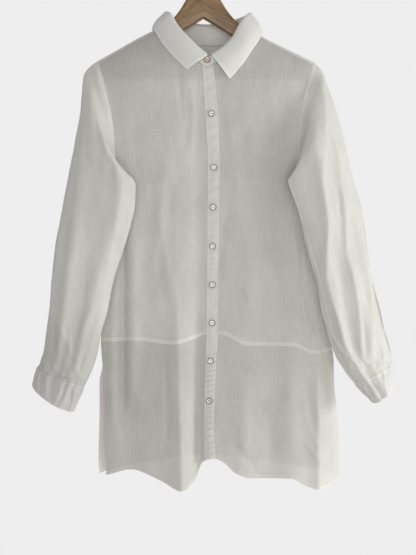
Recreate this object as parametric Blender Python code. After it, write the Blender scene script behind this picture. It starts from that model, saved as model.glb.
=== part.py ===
"""A long linen shirt, buttoned all the way down, hanging on a wooden coat hanger with a wire hook.

The origin is the point inside the top of the hook that rests on a rail. +X is the wearer's left,
-Y is the front and +Z is up. Sizes are in millimetres, and a drop is a distance below the origin.
"""

import math
from collections import namedtuple

import bmesh
import bpy
import numpy as np

MM = 0.001

# Cloth, seams and laps
CLOTH = 1.2
DOUBLED = 2.0
SEAM_GAP = 0.3
LAP = 2.35
LAP_AT_HEM = 3.8
LAP_FADE = 60
LAP_DEEPENS_FROM = 620
LAP_DEEPENS_OVER = 240
UNDER_BAND_THICK = 1.6
UNDER_BAND_RIGHT_INSET = 1.5
UNDER_BAND_LEFT_INSET = 1.3
LEFT_FRONT_INSET = 1
SHARPEST_MITRE = 0.42
SOFT_CREASE = 0.45
CREASE_GAP = 0.9
SHIRT_SHIFT = 5

# Drops at which the bands' edges and the body's sides are read for the front edges, hips and hems
BAND_START_DROP = 220
BAND_END_DROP = 931
HIP_BAND_DROP = 710
HIP_SIDE_DROP = 719
FRONT_HEM_SIDE_DROP = 975
BACK_HEM_SIDE_DROP = 960

# Shoulder, armhole and yoke
TIP_X = 200
TIP_DROP = 205
UNDERARM_X = 165
UNDERARM_DROP = 427
ARMHOLE_CURVE = 2.5
YOKE_FRONT = 6.5
YOKE_BACK_DROP = 232
YOKE_BACK_ROWS = (0.2, 0.55, 1)
RIDGE_FLAT = 1.5
PASSES = 6

# Neck
NECK_MIDDLE = 2
NECK_HALF = 82
NECK_FRONT_FALL = 80
NECK_BACK_FALL = 25
NECK_FRONT_BEND = 1.25
NECK_BACK_BEND = 2.2
SHOULDER_SEAM_TURN = 72

# Roundness of the body
ROUND_AT_NECK = 130
ROUND_AT_TIP = 70
SIDE_ROUND = 0.7
FOLD_FADE = 3

# Buttons
BUTTON_RADIUS = 5.9
BUTTON_THICK = 2.2
TOP_BUTTON_CLEAR = 0.75
FRONT_BUTTON_CLEAR = 0.45
CUFF_BUTTON_CLEAR = 0.5

# Hanger
BAR_REACH = 187
HUMP_REACH = 75
BAR_BELOW_RIDGE = 2.6
BAR_SIDES = 12
BAR_SQUARENESS = 0.6
BAR_RING_SPREAD = 1.25
HOOK_WIRE = 3.8
HOOK_RADIUS = 20
HOOK_SHANK = ((0, 54), (0.8, 49), (3.4, 44.8))
HOOK_FIRST_TURN = -62
HOOK_LAST_TURN = 204
HOOK_TURN_STEP = 14


def tangents(keys, values):
    """Slopes at the rows of a table, flat at a crest, so that a curve through them never overshoots."""
    steps = np.diff(values) / np.diff(keys)
    slopes = np.concatenate([steps[:1], steps[1:], steps[-1:]])
    for i in range(1, len(steps)):
        before, after = steps[i - 1], steps[i]
        slopes[i] = 2 * before * after / (before + after) if before * after > 0 else 0
    return slopes


class Table:
    """Sizes in rows under named columns. The first column is the key, and rows rise along it."""

    def __init__(self, columns, *rows):
        values = np.array(rows, float)
        self.keys = values[:, 0]
        self.columns = {}
        for i, name in enumerate(columns.split()[1:], 1):
            self.columns[name] = values[:, i], tangents(self.keys, values[:, i])

    def at(self, name, key):
        values, slopes = self.columns[name]
        i = int(np.clip(np.searchsorted(self.keys, key) - 1, 0, len(self.keys) - 2))
        span = self.keys[i + 1] - self.keys[i]
        t = min(max((key - self.keys[i]) / span, 0), 1)
        start = (1 + 2 * t) * (1 - t) ** 2 * values[i] + t * (1 - t) ** 2 * span * slopes[i]
        end = t * t * (3 - 2 * t) * values[i + 1] + t * t * (t - 1) * span * slopes[i + 1]
        return start + end


# Top of the cloth along the shoulders, over the hanger
RIDGE = Table(
    "x drop",
    (-200, 203.5), (-100, 148.5), (-80, 140), (0, 106), (84, 148), (100, 156.5), (200, 206.4),
)

# Half depth of the body at its middle
DEPTH = Table(
    "drop front back",
    (100, 46, 38), (330, 43, 36), (430, 40, 34), (600, 37, 32), (720, 38, 34), (860, 44, 38), (980, 48, 42),
)

# Half widths: reach is where the rounding closes, then the edges of the front and of the back
SIDES = Table(
    "drop right_reach right_front right_back left_reach left_front left_back",
    (200, 228, 200, 200, 228, 200, 200),
    (275, 212, 180, 180, 212, 180, 180),
    (349, 192, 170, 170, 192, 170, 170),
    (427, 165, 165, 165, 165, 165, 165),
    (497, 168, 168, 168, 180, 180, 180),
    (571, 174, 174, 174, 195, 195, 195),
    (645, 184, 184, 184, 212, 212, 212),
    (719, 194, 194, 194, 227, 227, 227),
    (764, 191, 191, 191, 233, 233, 233),
    (795, 200, 185, 197, 240, 236, 231),
    (840, 201, 183, 197, 245, 240, 233),
    (935, 203, 183, 199, 251, 246, 238),
    (985, 203, 184, 195, 251, 245, 237),
)

# The over band's two edges
BAND = Table(
    "drop right_edge left_edge",
    (220, -6.2, 14), (308, -0.6, 21.2), (404, 4.2, 25.2), (463, 3.2, 24), (590, 2.3, 22.2),
    (698, 1.4, 21.4), (753, -0.3, 18.7), (825, -2.1, 15.6), (876, -2.8, 14.4), (931, -1.2, 18),
)

# Hip seam and hem, across the fronts and the back
FRONT_HIP = Table(
    "x drop",
    (-194, 722), (-125, 719), (-60, 725), (-18, 714), (0, 707), (27, 707), (75, 727), (162, 729.5),
    (198, 744), (229, 739),
)
BACK_HIP = Table("x drop", (-194, 722), (0, 728), (229, 739))
FRONT_HEM = Table(
    "x drop",
    (-184, 966), (-134, 954), (-81, 971), (-45, 987), (-20, 970), (-6, 938), (12, 931), (30, 937),
    (54, 958), (80, 967), (156, 969.5), (180, 982), (210, 989.5), (246, 977),
)
BACK_HEM = Table("x drop", (-196, 966), (-120, 950), (0, 937), (120, 948), (237, 968))
VENT_DROP = 764

# Largest folds of the body. A fold grows from its top to its end. Depth is
# how far the cloth stands out from its smooth form there.
Fold = namedtuple("Fold", "top_x top_drop end_x end_drop width depth")
FRONT_FOLDS = (
    Fold(-52, 560, -50, 960, 26, 17),
    Fold(-12, 640, -6, 950, 13, -13),
    Fold(-128, 560, -136, 950, 24, -7),
    Fold(212, 700, 214, 960, 24, 9),
    Fold(120, 640, 110, 960, 34, -6),
    Fold(-30, 230, -12, 420, 16, -4),
)
BACK_FOLDS = (
    Fold(-70, 420, -84, 960, 30, -8),
    Fold(0, 300, 4, 960, 34, -6),
    Fold(84, 420, 104, 960, 32, -8),
)

# Collar: turn goes round the neck from the front middle by the wearer's right, in degrees.
COLLAR = Table(
    "turn crest_x crest_drop edge_x edge_drop",
    (0, 2, 198.5, -34, 228),
    (11, -13, 186, -44, 218),
    (21.5, -25.5, 173, -54.5, 207.5),
    (33, -39, 158, -65, 196),
    (45, -51, 142, -77, 181),
    (62, -64, 119, -89, 162),
    (90, -73, 113, -97, 147),
    (135, -51, 120, -72, 171),
    (180, 1, 128, 1, 177),
    (225, 53, 121, 75, 173),
    (270, 79.4, 114.5, 102, 156),
    (293, 71, 123, 95, 172),
    (309, 61, 138, 84, 190),
    (323, 47, 165, 71.6, 210),
    (334.5, 34, 180, 60, 225),
    (344, 22.8, 190, 52, 235),
    (354, 10, 198, 43, 245),
)
LEAF_END_TURN = 354
STAND_OVER_TURN = -9
STAND_OVER_SHARES = (1, 0.65, 0.3)
STAND_UNDER_TURN = 364
STAND_LIFT = 1.2
STAND_TOP_CLOSER = 0.95
STAND_LAP_FROM = 290
STAND_LAP_OVER = 50
END_ROUND = 0.28
ROLL_RISE = 4.4
ROLL_OUT = 2.8
FALL_OUT = 6.8
FALL_DROP = 4.5
LEAF_BULGE = 4
LEAF_LIFT = 2.1
LEAF_CLEAR = 3.9

# Sleeves: outer and inner edge of each section, its half depths, and how far its front is lowered
SLEEVE_COLUMNS = "step outer_x outer_drop outer_y inner_x inner_drop inner_y front back dip"
SLEEVES = {
    "right": Table(
        SLEEVE_COLUMNS,
        (0, -200, 205, 0, -165, 427, 0, 16, 14, 0),
        (1, -215, 216, 0, -167, 430, -15, 20, 18, -4),
        (2, -226, 234, -2, -163, 430, -27, 24, 20, -8),
        (3, -229, 266, -4, -156, 430, -36, 27, 22, -11),
        (4, -231, 297, -6, -147, 428, -42, 29, 24, -13),
        (5, -238, 338, -8, -138, 427, -46, 31, 26, -13),
        (6, -245, 377, -10, -131, 428, -47, 32, 27, -11),
        (7, -254, 423, -12, -127, 437, -48, 32, 28, -7),
        (8, -261, 465, -14, -129, 475, -48, 31, 28, -3),
        (9, -269, 504, -15, -137, 512, -47, 30, 27, 0),
        (10, -277, 551, -16, -149, 551, -44, 29, 26, 0),
        (11, -284, 622, -17, -171, 621, -39, 27, 25, 0),
        (12, -287, 664, -18, -180, 668, -36, 26, 24, 0),
        (13, -292, 700, -18, -190, 700, -34, 25, 23, 0),
        (14, -298, 742, -18, -198, 742, -32, 25, 22, 2),
        (15, -308, 767, -18, -211, 780, -31, 23, 20, 5),
        (16, -309, 768, -18, -221, 799, -30, 20, 17, 5),
        (17, -318, 800, -18, -240, 845, -30, 17, 15, 11),
    ),
    "left": Table(
        SLEEVE_COLUMNS,
        (0, 200, 206, 0, 165, 427, 0, 16, 14, 0),
        (1, 211, 218, 0, 167, 429, -15, 20, 18, -3),
        (2, 218, 232, -2, 163, 429, -27, 24, 20, -5),
        (3, 225, 253, -4, 158, 428, -36, 27, 22, -6),
        (4, 236, 284, -6, 153, 427, -43, 29, 24, -7),
        (5, 244, 312, -8, 149, 427, -46, 31, 26, -7),
        (6, 255, 354, -9, 148, 428, -49, 32, 27, -6),
        (7, 270, 422, -11, 150, 436, -50, 33, 28, -4),
        (8, 283, 465, -12, 161, 465, -49, 33, 28, -2),
        (9, 289, 500, -13, 172, 500, -47, 32, 27, 0),
        (10, 296, 550, -14, 183, 550, -44, 31, 26, 0),
        (11, 308, 619, -15, 203, 618, -39, 29, 25, 0),
        (12, 318, 656, -15, 210, 652, -37, 28, 24, 0),
        (13, 328, 700, -15, 222, 692, -35, 27, 24, 0),
        (14, 336, 727, -15, 230, 725, -34, 27, 23, 2),
        (15, 340, 745, -15, 239, 751, -33, 26, 22, 5),
        (16, 341, 761, -16, 270, 794, -33, 24, 22, 4),
        (17, 342, 798, -16, 303, 830, -32, 34, 32, 5),
    ),
}
CUFF_STEP = 16
CUFF_END_STEP = 17
CAP_STEPS = 7

# Long folds on the front of the sleeves: share is the place between outer and inner edge
SLEEVE_FOLDS = {
    "right": (
        Table("step share height", (1, 0.2, 3), (4, 0.55, 6), (8, 0.8, 5), (12, 0.72, 3), (16, 0.6, 3)),
        Table("step share height", (5, 0.2, 2), (10, 0.3, 5), (16, 0.25, 2)),
    ),
    "left": (
        Table("step share height", (1, 0.45, 2), (5, 0.5, 6), (9, 0.57, 7), (11, 0.75, 7), (16, 0.75, 5)),
        Table("step share height", (5, 0.1, 2), (8, 0.22, 5), (12, 0.3, 6), (15, 0.45, 4)),
    ),
}
SLEEVE_FOLD_WIDTH = 0.12

BUTTON_DROPS = (307, 404, 476, 547, 617, 686, 755, 827)
TOP_BUTTON_X = 2.4
TOP_BUTTON_DROP = 209.5
CUFF_BUTTON_STEP = 16.5
CUFF_BUTTON_RING = 12

# Hanger bar: its hump in the neck, its underside and its half thickness, the same on both sides
BAR_TOP = Table(
    "reach drop",
    (0, 60), (12, 65), (22, 76), (31.5, 90), (41.5, 106.7), (53, 121.8), (66, 135), (75, 144), (84, 151),
    (95, 155), (190, 155),
)
BAR_FORM = Table(
    "reach bottom half_thick",
    (0, 124.8, 8), (20, 137, 7.5), (40, 149, 7.2), (55, 158.5, 7), (75, 171, 7), (100, 184, 7),
    (130, 199, 6.6), (160, 210, 5.6), (190, 219, 4.2),
)

# How finely each piece is divided
NECK_STEPS = 5
SHOULDER_STEPS = 5
ARMHOLE_FRONT_STEPS = 7
ARMHOLE_BACK_STEPS = 6
SIDE_STEPS = 7
SKIRT_STEPS = 6
BACK_NECK_STEPS = 8
SLEEVE_STEPS = 20
LEAF_STEPS = 32
BAR_STEPS = 22
ROUND_SIDES = 16
HOOK_SIDES = 8

# Colour, roughness and metallic value of each material
LINEN = ((0.58, 0.575, 0.53), 0.9, 0.0)
SHELL = ((0.72, 0.68, 0.6), 0.3, 0.0)
WOOD = ((0.27, 0.18, 0.09), 0.5, 0.0)
STEEL = ((0.6, 0.6, 0.6), 0.3, 1.0)


def mix(start, end, share):
    return start + (end - start) * share


def ease(share):
    share = min(max(share, 0), 1)
    return share * share * (3 - 2 * share)


def point(x, y, drop):
    return np.array((x, y, -drop), float)


def unit(vector):
    return vector / max(np.linalg.norm(vector), 1e-9)


def reach_at(x, drop):
    return SIDES.at("right_reach" if x < 0 else "left_reach", drop)


def fullness(x, drop):
    """Share of the body's depth here: none on the shoulder ridge and at the sides, all in the middle."""
    across = min(abs(x) / reach_at(x, drop), 1)
    height = mix(ROUND_AT_NECK, ROUND_AT_TIP, min(abs(x) / TIP_X, 1) ** 2)
    down = min(max((drop - RIDGE.at("drop", x)) / height, 0), 1)
    return (1 - across**2) ** SIDE_ROUND * math.sqrt(1 - (1 - down) ** 2)


def fold_depth(folds, x, drop):
    depth = 0
    for fold in folds:
        along = (drop - fold.top_drop) / (fold.end_drop - fold.top_drop)
        middle = mix(fold.top_x, fold.end_x, min(max(along, 0), 1))
        depth += fold.depth * ease(along) * math.exp(-(((x - middle) / fold.width) ** 2))
    return depth


def front_y(x, drop):
    full = fullness(x, drop)
    return -DEPTH.at("front", drop) * full - fold_depth(FRONT_FOLDS, x, drop) * min(FOLD_FADE * full, 1)


def back_y(x, drop):
    full = fullness(x, drop)
    return DEPTH.at("back", drop) * full + fold_depth(BACK_FOLDS, x, drop) * min(FOLD_FADE * full, 1)


def on_front(x, drop):
    return point(x, front_y(x, drop), drop)


def on_back(x, drop):
    return point(x, back_y(x, drop), drop)


def lap_at(drop):
    """How far the under band lies behind the over band: further in the deep fold near the hem."""
    return mix(LAP, LAP_AT_HEM, ease((drop - LAP_DEEPENS_FROM) / LAP_DEEPENS_OVER))


def on_left_front(x, drop):
    """The left front lies under the right one's band, then comes forward to its own place."""
    tuck = lap_at(drop) * (1 - ease((x - BAND.at("left_edge", drop)) / LAP_FADE))
    return point(x, front_y(x, drop) + tuck, drop)


def over_shoulder(x, below):
    """A point below the shoulder ridge on the back, or on the front where below is negative."""
    drop = RIDGE.at("drop", x) + abs(below)
    return on_back(x, drop) if below > 0 else on_front(x, drop)


def armhole_x(drop):
    share = min(max((drop - TIP_DROP) / (UNDERARM_DROP - TIP_DROP), 0), 1)
    return UNDERARM_X + (TIP_X - UNDERARM_X) * (1 - share) ** ARMHOLE_CURVE


def armhole_at(side, below):
    """Where the armhole lies this far below the ridge, found by coming closer step by step."""
    x = side * TIP_X
    for _ in range(PASSES):
        x = side * armhole_x(RIDGE.at("drop", x) + abs(below))
    return x


def neck_point(turn):
    """The neck seam, at a turn in degrees from the front middle by the wearer's right."""
    across = -math.sin(math.radians(turn))
    x = NECK_MIDDLE + NECK_HALF * across
    right = RIDGE.at("drop", NECK_MIDDLE - NECK_HALF)
    left = RIDGE.at("drop", NECK_MIDDLE + NECK_HALF)
    side_drop = mix(right, left, (1 + across) / 2)
    if math.cos(math.radians(turn)) > 0:
        return on_front(x, side_drop + NECK_FRONT_FALL * (1 - abs(across) ** NECK_FRONT_BEND))
    return on_back(x, side_drop + NECK_BACK_FALL * (1 - abs(across) ** NECK_BACK_BEND))


def neck_turn(x):
    """The turn at which the front of the neck seam passes x."""
    return math.degrees(math.asin((NECK_MIDDLE - x) / NECK_HALF))


# Sheets: grids of points on the middle of the cloth. Facing is 1 where a step along a row and then
# a step to the next row turn so that their cross product points out of the shirt, and -1 if it points in.
class Sheet:
    def __init__(self, name, group, grid, facing, thick=CLOTH, closed=False, cut=()):
        self.name = name
        self.group = group
        self.grid = np.array(grid, float)
        self.facing = facing
        self.thick = thick
        rows, columns = self.grid.shape[:2]
        self.cells = []
        for i in range(rows - 1):
            for j in range(columns if closed else columns - 1):
                k = (j + 1) % columns
                if (i, j) not in cut:
                    self.cells.append(((i, j), (i, k), (i + 1, k), (i + 1, j)))


def place(position):
    return tuple(np.round(position, 2))


def corner_normals(sheet):
    """For each point, the normals of the sheet's own cells that meet there."""
    found = {}
    for cell in sheet.cells:
        a, b, c, d = (sheet.grid[corner] for corner in cell)
        normal = unit(np.cross(c - a, d - b)) * sheet.facing
        for corner in cell:
            found.setdefault(corner, []).append(normal)
    return found


def shared_normals(sheets):
    """Normals at every place, for each group of sheets that runs on smoothly."""
    shared = {}
    for sheet in sheets:
        for corner, normals in corner_normals(sheet).items():
            groups = shared.setdefault(place(sheet.grid[corner]), {})
            groups.setdefault(sheet.group, []).extend(normals)
    return shared


def rim_edges(sheet):
    """Edges that only one cell has, each with its unit step into that cell."""
    edges = {}
    for cell in sheet.cells:
        middle = sum(sheet.grid[corner] for corner in cell) / 4
        for start, end in zip(cell, cell[1:] + cell[:1]):
            if edges.pop((end, start), None) is None:
                along = unit(sheet.grid[end] - sheet.grid[start])
                inward = middle - sheet.grid[start]
                edges[start, end] = unit(inward - along * (inward @ along))
    return edges


def rim_pulls(edges):
    """How a rim point moves for its edges to move in by 1: the corner of a mitre where two edges meet."""
    steps = {}
    for edge, inward in edges.items():
        for corner in edge:
            steps.setdefault(corner, []).append(inward)
    pulls = {}
    for corner, (one, *others) in steps.items():
        other = others[0] if others else one
        pulls[corner] = (one + other) / max(1 + one @ other, SHARPEST_MITRE)
    return pulls


def wall(sheet, shared):
    """The sheet as a wall: both faces half a thickness away, mitred at seams and parted by the seam gap."""
    own = corner_normals(sheet)
    edges = rim_edges(sheet)
    pulls = rim_pulls(edges)
    index = {corner: number for number, corner in enumerate(sorted(own))}
    outer, inner = [], []
    for corner in index:
        groups = shared.get(place(sheet.grid[corner]), {})
        normal = unit(sum(groups[sheet.group]))
        pull = SEAM_GAP / 2
        for group, normals in groups.items():
            other = unit(sum(normals))
            if group != sheet.group and normal @ other > SOFT_CREASE:
                normal = unit(normal + other)
            elif group != sheet.group:
                pull = CREASE_GAP
        level = max(float(np.mean([normal @ face for face in own[corner]])), SHARPEST_MITRE)
        here = sheet.grid[corner] + pulls.get(corner, 0) * pull / level
        outer.append(here + normal * sheet.thick / 2 / level)
        inner.append(here - normal * sheet.thick / 2 / level)
    faces = []
    below = len(index)
    for cell in sheet.cells:
        quad = [index[corner] for corner in cell]
        faces.append(quad)
        faces.append([below + corner for corner in reversed(quad)])
    for start, end in edges:
        first, last = index[start], index[end]
        faces.append([last, first, below + first, below + last])
    if sheet.facing < 0:
        faces = [list(reversed(face)) for face in faces]
    return outer + inner, faces


def patch(top, bottom, inner, outer):
    """A grid of (x, drop) between four lines. Top and bottom run from inner to outer."""
    top, bottom, inner, outer = (np.array(line, float) for line in (top, bottom, inner, outer))

    def shares(one, other):
        total = np.zeros(len(one))
        for line in (one, other):
            lengths = np.concatenate([[0], np.cumsum(np.linalg.norm(np.diff(line, axis=0), axis=1))])
            total += lengths / lengths[-1] / 2
        return total

    across = shares(top, bottom)[None, :, None]
    down = shares(inner, outer)[:, None, None]
    grid = (1 - down) * top[None] + down * bottom[None]
    grid += (1 - across) * inner[:, None] + across * outer[:, None]
    grid -= (1 - across) * ((1 - down) * top[0] + down * bottom[0])
    grid -= across * ((1 - down) * top[-1] + down * bottom[-1])
    return grid


def laid_on(surface, grid):
    return [[surface(x, drop) for x, drop in row] for row in grid]


def flat(position):
    return position[0], -position[2]


# Yoke: columns from the right armhole over the back of the neck to the left armhole
def yoke_rows(side_x):
    """Distances below the ridge on a shoulder column, front seam first."""
    end = YOKE_BACK_DROP - RIDGE.at("drop", side_x)
    return [-YOKE_FRONT, -RIDGE_FLAT, RIDGE_FLAT, *(share * end for share in YOKE_BACK_ROWS)]


def yoke_shoulder_column(side, share):
    """A column on one shoulder: share is 0 at the neck and 1 at the armhole."""
    neck = NECK_MIDDLE + side * NECK_HALF
    corner = neck_point(SHOULDER_SEAM_TURN if side < 0 else -SHOULDER_SEAM_TURN)[0]
    column = []
    for row in range(6):
        inner = corner if row == 0 else neck
        x = mix(inner, side * UNDERARM_X, share)
        for _ in range(PASSES):
            x = mix(inner, armhole_at(side, yoke_rows(x)[row]), share)
        column.append(over_shoulder(x, yoke_rows(x)[row]))
    return column


def yoke_neck_column(turn):
    """A column below the back of the neck. It has no cloth in the two rows over the shoulder."""
    top = neck_point(turn)
    start = -top[2] - RIDGE.at("drop", top[0])
    end = YOKE_BACK_DROP - RIDGE.at("drop", top[0])
    return [over_shoulder(top[0], mix(start, end, share)) for share in (0, 0, 0, *YOKE_BACK_ROWS)]


def yoke_sheet(grid):
    neck = range(SHOULDER_STEPS, SHOULDER_STEPS + BACK_NECK_STEPS)
    return Sheet("yoke", "body", grid, 1, cut={(i, j) for i in (0, 1) for j in neck})


def yoke_grid():
    shares = [j / SHOULDER_STEPS for j in range(SHOULDER_STEPS, -1, -1)]
    columns = [yoke_shoulder_column(-1, share) for share in shares]
    for j in range(1, BACK_NECK_STEPS):
        columns.append(yoke_neck_column(90 + 180 * j / BACK_NECK_STEPS))
    columns += [yoke_shoulder_column(1, share) for share in reversed(shares)]
    return np.array(columns).transpose(1, 0, 2)


def body_side(side, drop, part):
    name = ("right_" if side < 0 else "left_") + part
    return side * SIDES.at(name, drop)


def front_sheets(side, yoke):
    """The upper front and its skirt, with rows that meet the band, the yoke, the sleeve and the back."""
    surface = on_front if side < 0 else on_left_front
    hand = "right" if side < 0 else "left"

    def band_x(drop):
        return BAND.at("right_edge", drop) if side < 0 else BAND.at("left_edge", drop) - LEFT_FRONT_INSET

    edge_turn = neck_turn(band_x(BAND_START_DROP))
    seam_turn = -side * SHOULDER_SEAM_TURN
    top = []
    for j in range(NECK_STEPS):
        top.append(flat(neck_point(mix(edge_turn, seam_turn, j / NECK_STEPS))))
    shoulder = yoke[0, : SHOULDER_STEPS + 1][::-1] if side < 0 else yoke[0, -SHOULDER_STEPS - 1 :]
    top += [flat(position) for position in shoulder]
    outer = [top[-1]]
    for i in range(1, ARMHOLE_FRONT_STEPS + 1):
        drop = mix(top[-1][1], UNDERARM_DROP, i / ARMHOLE_FRONT_STEPS)
        outer.append((side * armhole_x(drop), drop))
    hip_x = body_side(side, HIP_SIDE_DROP, "front")
    hip_drop = FRONT_HIP.at("drop", hip_x)
    for i in range(1, SIDE_STEPS + 1):
        drop = mix(UNDERARM_DROP, hip_drop, i / SIDE_STEPS)
        outer.append((body_side(side, drop, "front"), drop))
    outer_x = outer[-1][0]
    inner_x = band_x(FRONT_HIP.at("drop", band_x(HIP_BAND_DROP)))
    inner_drop = FRONT_HIP.at("drop", inner_x)
    lengths = np.cumsum([0] + [math.dist(a, b) for a, b in zip(outer, outer[1:])])
    inner = [top[0]]
    for share in lengths[1:] / lengths[-1]:
        drop = mix(top[0][1], inner_drop, share)
        inner.append((band_x(drop), drop))
    spans = np.cumsum([0] + [math.dist(a, b) for a, b in zip(top, top[1:])])
    bottom = []
    for share in spans / spans[-1]:
        x = mix(inner_x, outer_x, share)
        bottom.append((x, FRONT_HIP.at("drop", x)))
    inner[-1], bottom[-1] = bottom[0], outer[-1]
    upper = patch(top, bottom, inner, outer)

    skirt_outer = [bottom[-1], (body_side(side, VENT_DROP, "front"), VENT_DROP)]
    hem_x = body_side(side, FRONT_HEM_SIDE_DROP, "front")
    hem_drop = FRONT_HEM.at("drop", hem_x)
    for i in range(1, SKIRT_STEPS):
        drop = mix(VENT_DROP, hem_drop, i / (SKIRT_STEPS - 1))
        skirt_outer.append((body_side(side, drop, "front"), drop))
    hem_inner_x = band_x(BAND_END_DROP)
    hem_inner_drop = FRONT_HEM.at("drop", hem_inner_x)
    shares = [(drop - hip_drop) / (hem_drop - hip_drop) for _, drop in skirt_outer]
    skirt_inner = []
    for share in shares:
        drop = mix(inner_drop, hem_inner_drop, share)
        skirt_inner.append((band_x(drop), drop))
    hem = []
    for x, _ in bottom:
        hem_x = mix(hem_inner_x, skirt_outer[-1][0], (x - inner_x) / (outer_x - inner_x))
        hem.append((hem_x, FRONT_HEM.at("drop", hem_x)))
    hem[0], hem[-1] = skirt_inner[-1], skirt_outer[-1]
    skirt_inner[0] = bottom[0]
    skirt = patch(bottom, hem, skirt_inner, skirt_outer)
    facing = -side
    return (
        Sheet(f"front_{hand}_upper", "body", laid_on(surface, upper), facing),
        Sheet(f"front_{hand}_lower", "body", laid_on(surface, skirt), facing),
    )


def back_sheets(yoke, fronts):
    """The back and its skirt. Their sides repeat the fronts' points, as far down as the vents."""
    top = [flat(position) for position in yoke[-1]]
    sides = []
    for side, (upper, lower) in zip((-1, 1), fronts):
        start = top[0] if side < 0 else top[-1]
        line = [start]
        for i in range(1, ARMHOLE_BACK_STEPS + 1):
            drop = mix(start[1], UNDERARM_DROP, i / ARMHOLE_BACK_STEPS)
            line.append((side * armhole_x(drop), drop))
        line += [flat(position) for position in upper.grid[ARMHOLE_FRONT_STEPS + 1 :, -1]]
        skirt = [line[-1], flat(lower.grid[1, -1])]
        hem_x = body_side(side, BACK_HEM_SIDE_DROP, "back")
        hem_drop = BACK_HEM.at("drop", hem_x)
        for i in range(1, SKIRT_STEPS):
            drop = mix(VENT_DROP, hem_drop, i / (SKIRT_STEPS - 1))
            skirt.append((body_side(side, drop, "back"), drop))
        sides.append((line, skirt))
    (right, right_skirt), (left, left_skirt) = sides

    def line_between(start, end, table):
        spread = (np.array(top)[:, 0] - top[0][0]) / (top[-1][0] - top[0][0])
        line = [(x, table.at("drop", x)) for x in mix(start[0], end[0], spread)]
        line[0], line[-1] = start, end
        return line

    hip = line_between(right[-1], left[-1], BACK_HIP)
    hem = line_between(right_skirt[-1], left_skirt[-1], BACK_HEM)
    upper = patch(top, hip, right, left)
    lower = patch(hip, hem, right_skirt, left_skirt)
    return (
        Sheet("back_upper", "body", laid_on(on_back, upper), 1),
        Sheet("back_lower", "body", laid_on(on_back, lower), 1),
    )


def band_sheets(front):
    """Two bands down the front. The over band is joined to the right front, the under band lies behind."""
    upper, lower = front
    edge = np.concatenate([upper.grid[:, 0], lower.grid[1:, 0]])
    over, under = [], []
    for i, position in enumerate(edge):
        drop = -position[2]
        right, left = position[0], BAND.at("left_edge", drop)
        over_row, under_row = [position], []
        for share in (0.5, 1):
            x = mix(right, left, share)
            here = neck_point(neck_turn(x)) if i == 0 else on_front(x, drop)
            over_row.append(here)
        for share in (0, 0.5, 1):
            x = mix(right + UNDER_BAND_RIGHT_INSET, left - UNDER_BAND_LEFT_INSET, share)
            here = neck_point(neck_turn(x)) if i == 0 else on_front(x, drop)
            under_row.append(here + (0, lap_at(drop), 0))
        over.append(over_row)
        under.append(under_row)
    return (
        Sheet("band_over", "body", over, -1, thick=DOUBLED),
        Sheet("band_under", "under_band", under, -1, thick=UNDER_BAND_THICK),
    )


# Sleeves: rings from the armhole to the cuff seam, then the cuff
def armhole_ring(side, yoke, front, back):
    """The armhole's points, from the shoulder tip down the front and up the back."""
    yoke_edge = yoke[:, 0] if side < 0 else yoke[:, -1]
    front_edge = front.grid[1 : ARMHOLE_FRONT_STEPS + 1, -1]
    back_edge = back.grid[1:ARMHOLE_BACK_STEPS, 0 if side < 0 else -1]
    return np.concatenate([yoke_edge[2::-1], front_edge, back_edge[::-1], yoke_edge[:2:-1]])


def ring_angles(count):
    """Angles round a sleeve: 0 at its outer edge, half a turn at its inner edge, by the front."""
    under = ARMHOLE_FRONT_STEPS + 2
    front_step = math.pi / (under - 0.5)
    angles = [front_step * (k - 0.5) for k in range(under + 1)]
    back_step = (math.pi - front_step / 2) / (count - under)
    angles += [math.pi + back_step * k for k in range(1, count - under)]
    return angles


def sleeve_point(hand, step, angle):
    table = SLEEVES[hand]
    outer = point(*(table.at(name, step) for name in ("outer_x", "outer_y", "outer_drop")))
    inner = point(*(table.at(name, step) for name in ("inner_x", "inner_y", "inner_drop")))
    share = (1 - math.cos(angle)) / 2
    lift = math.sin(angle)
    depth = table.at("front" if lift > 0 else "back", step) * lift
    if lift > 0:
        for fold in SLEEVE_FOLDS[hand]:
            offset = (share - fold.at("share", step)) / SLEEVE_FOLD_WIDTH
            rise = fold.at("height", step) * ease(step / 3) * math.exp(-(offset**2))
            depth += (rise - fold.at("height", step) / 3) * min(2 * lift, 1) * ease(step / 3)
    return mix(outer, inner, share) + (0, -depth, -table.at("dip", step) * lift)


def sleeve_sheets(side, ring):
    hand = "right" if side < 0 else "left"
    angles = ring_angles(len(ring))
    first = np.array([sleeve_point(hand, 0, angle) for angle in angles])
    rows = []
    for i in range(SLEEVE_STEPS + 1):
        step = CUFF_STEP * i / SLEEVE_STEPS
        row = np.array([sleeve_point(hand, step, angle) for angle in angles])
        fade = max(1 - step / CAP_STEPS, 0) ** 2
        rows.append(row + (ring - first) * fade)
    cuff = [rows[-1]]
    for i in (1, 2, 3):
        step = mix(CUFF_STEP, CUFF_END_STEP, i / 3)
        cuff.append(np.array([sleeve_point(hand, step, angle) for angle in angles]))
    return (
        Sheet(f"sleeve_{hand}", f"sleeve_{hand}", rows, side, closed=True),
        Sheet(f"cuff_{hand}", f"sleeve_{hand}", cuff, side, thick=DOUBLED, closed=True),
    )


# Collar
def collar_tuck(turn):
    """The wearer's left end of the stand lies behind its right end."""
    return LAP * ease((turn - STAND_LAP_FROM) / STAND_LAP_OVER)


def stand_line(turn):
    """Base and top of the stand at a turn."""
    base = neck_point(turn)
    crest_turn = min(max(turn, 0), LEAF_END_TURN)
    lean = COLLAR.at("crest_x", crest_turn) - neck_point(crest_turn)[0]
    crest_drop = COLLAR.at("crest_drop", crest_turn)
    top = point(base[0] + lean, base[1] * STAND_TOP_CLOSER, crest_drop + ROLL_RISE)
    tuck = (0, collar_tuck(turn), 0)
    rise = unit(top - base)
    return base + rise * STAND_LIFT + tuck, top + tuck


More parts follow.
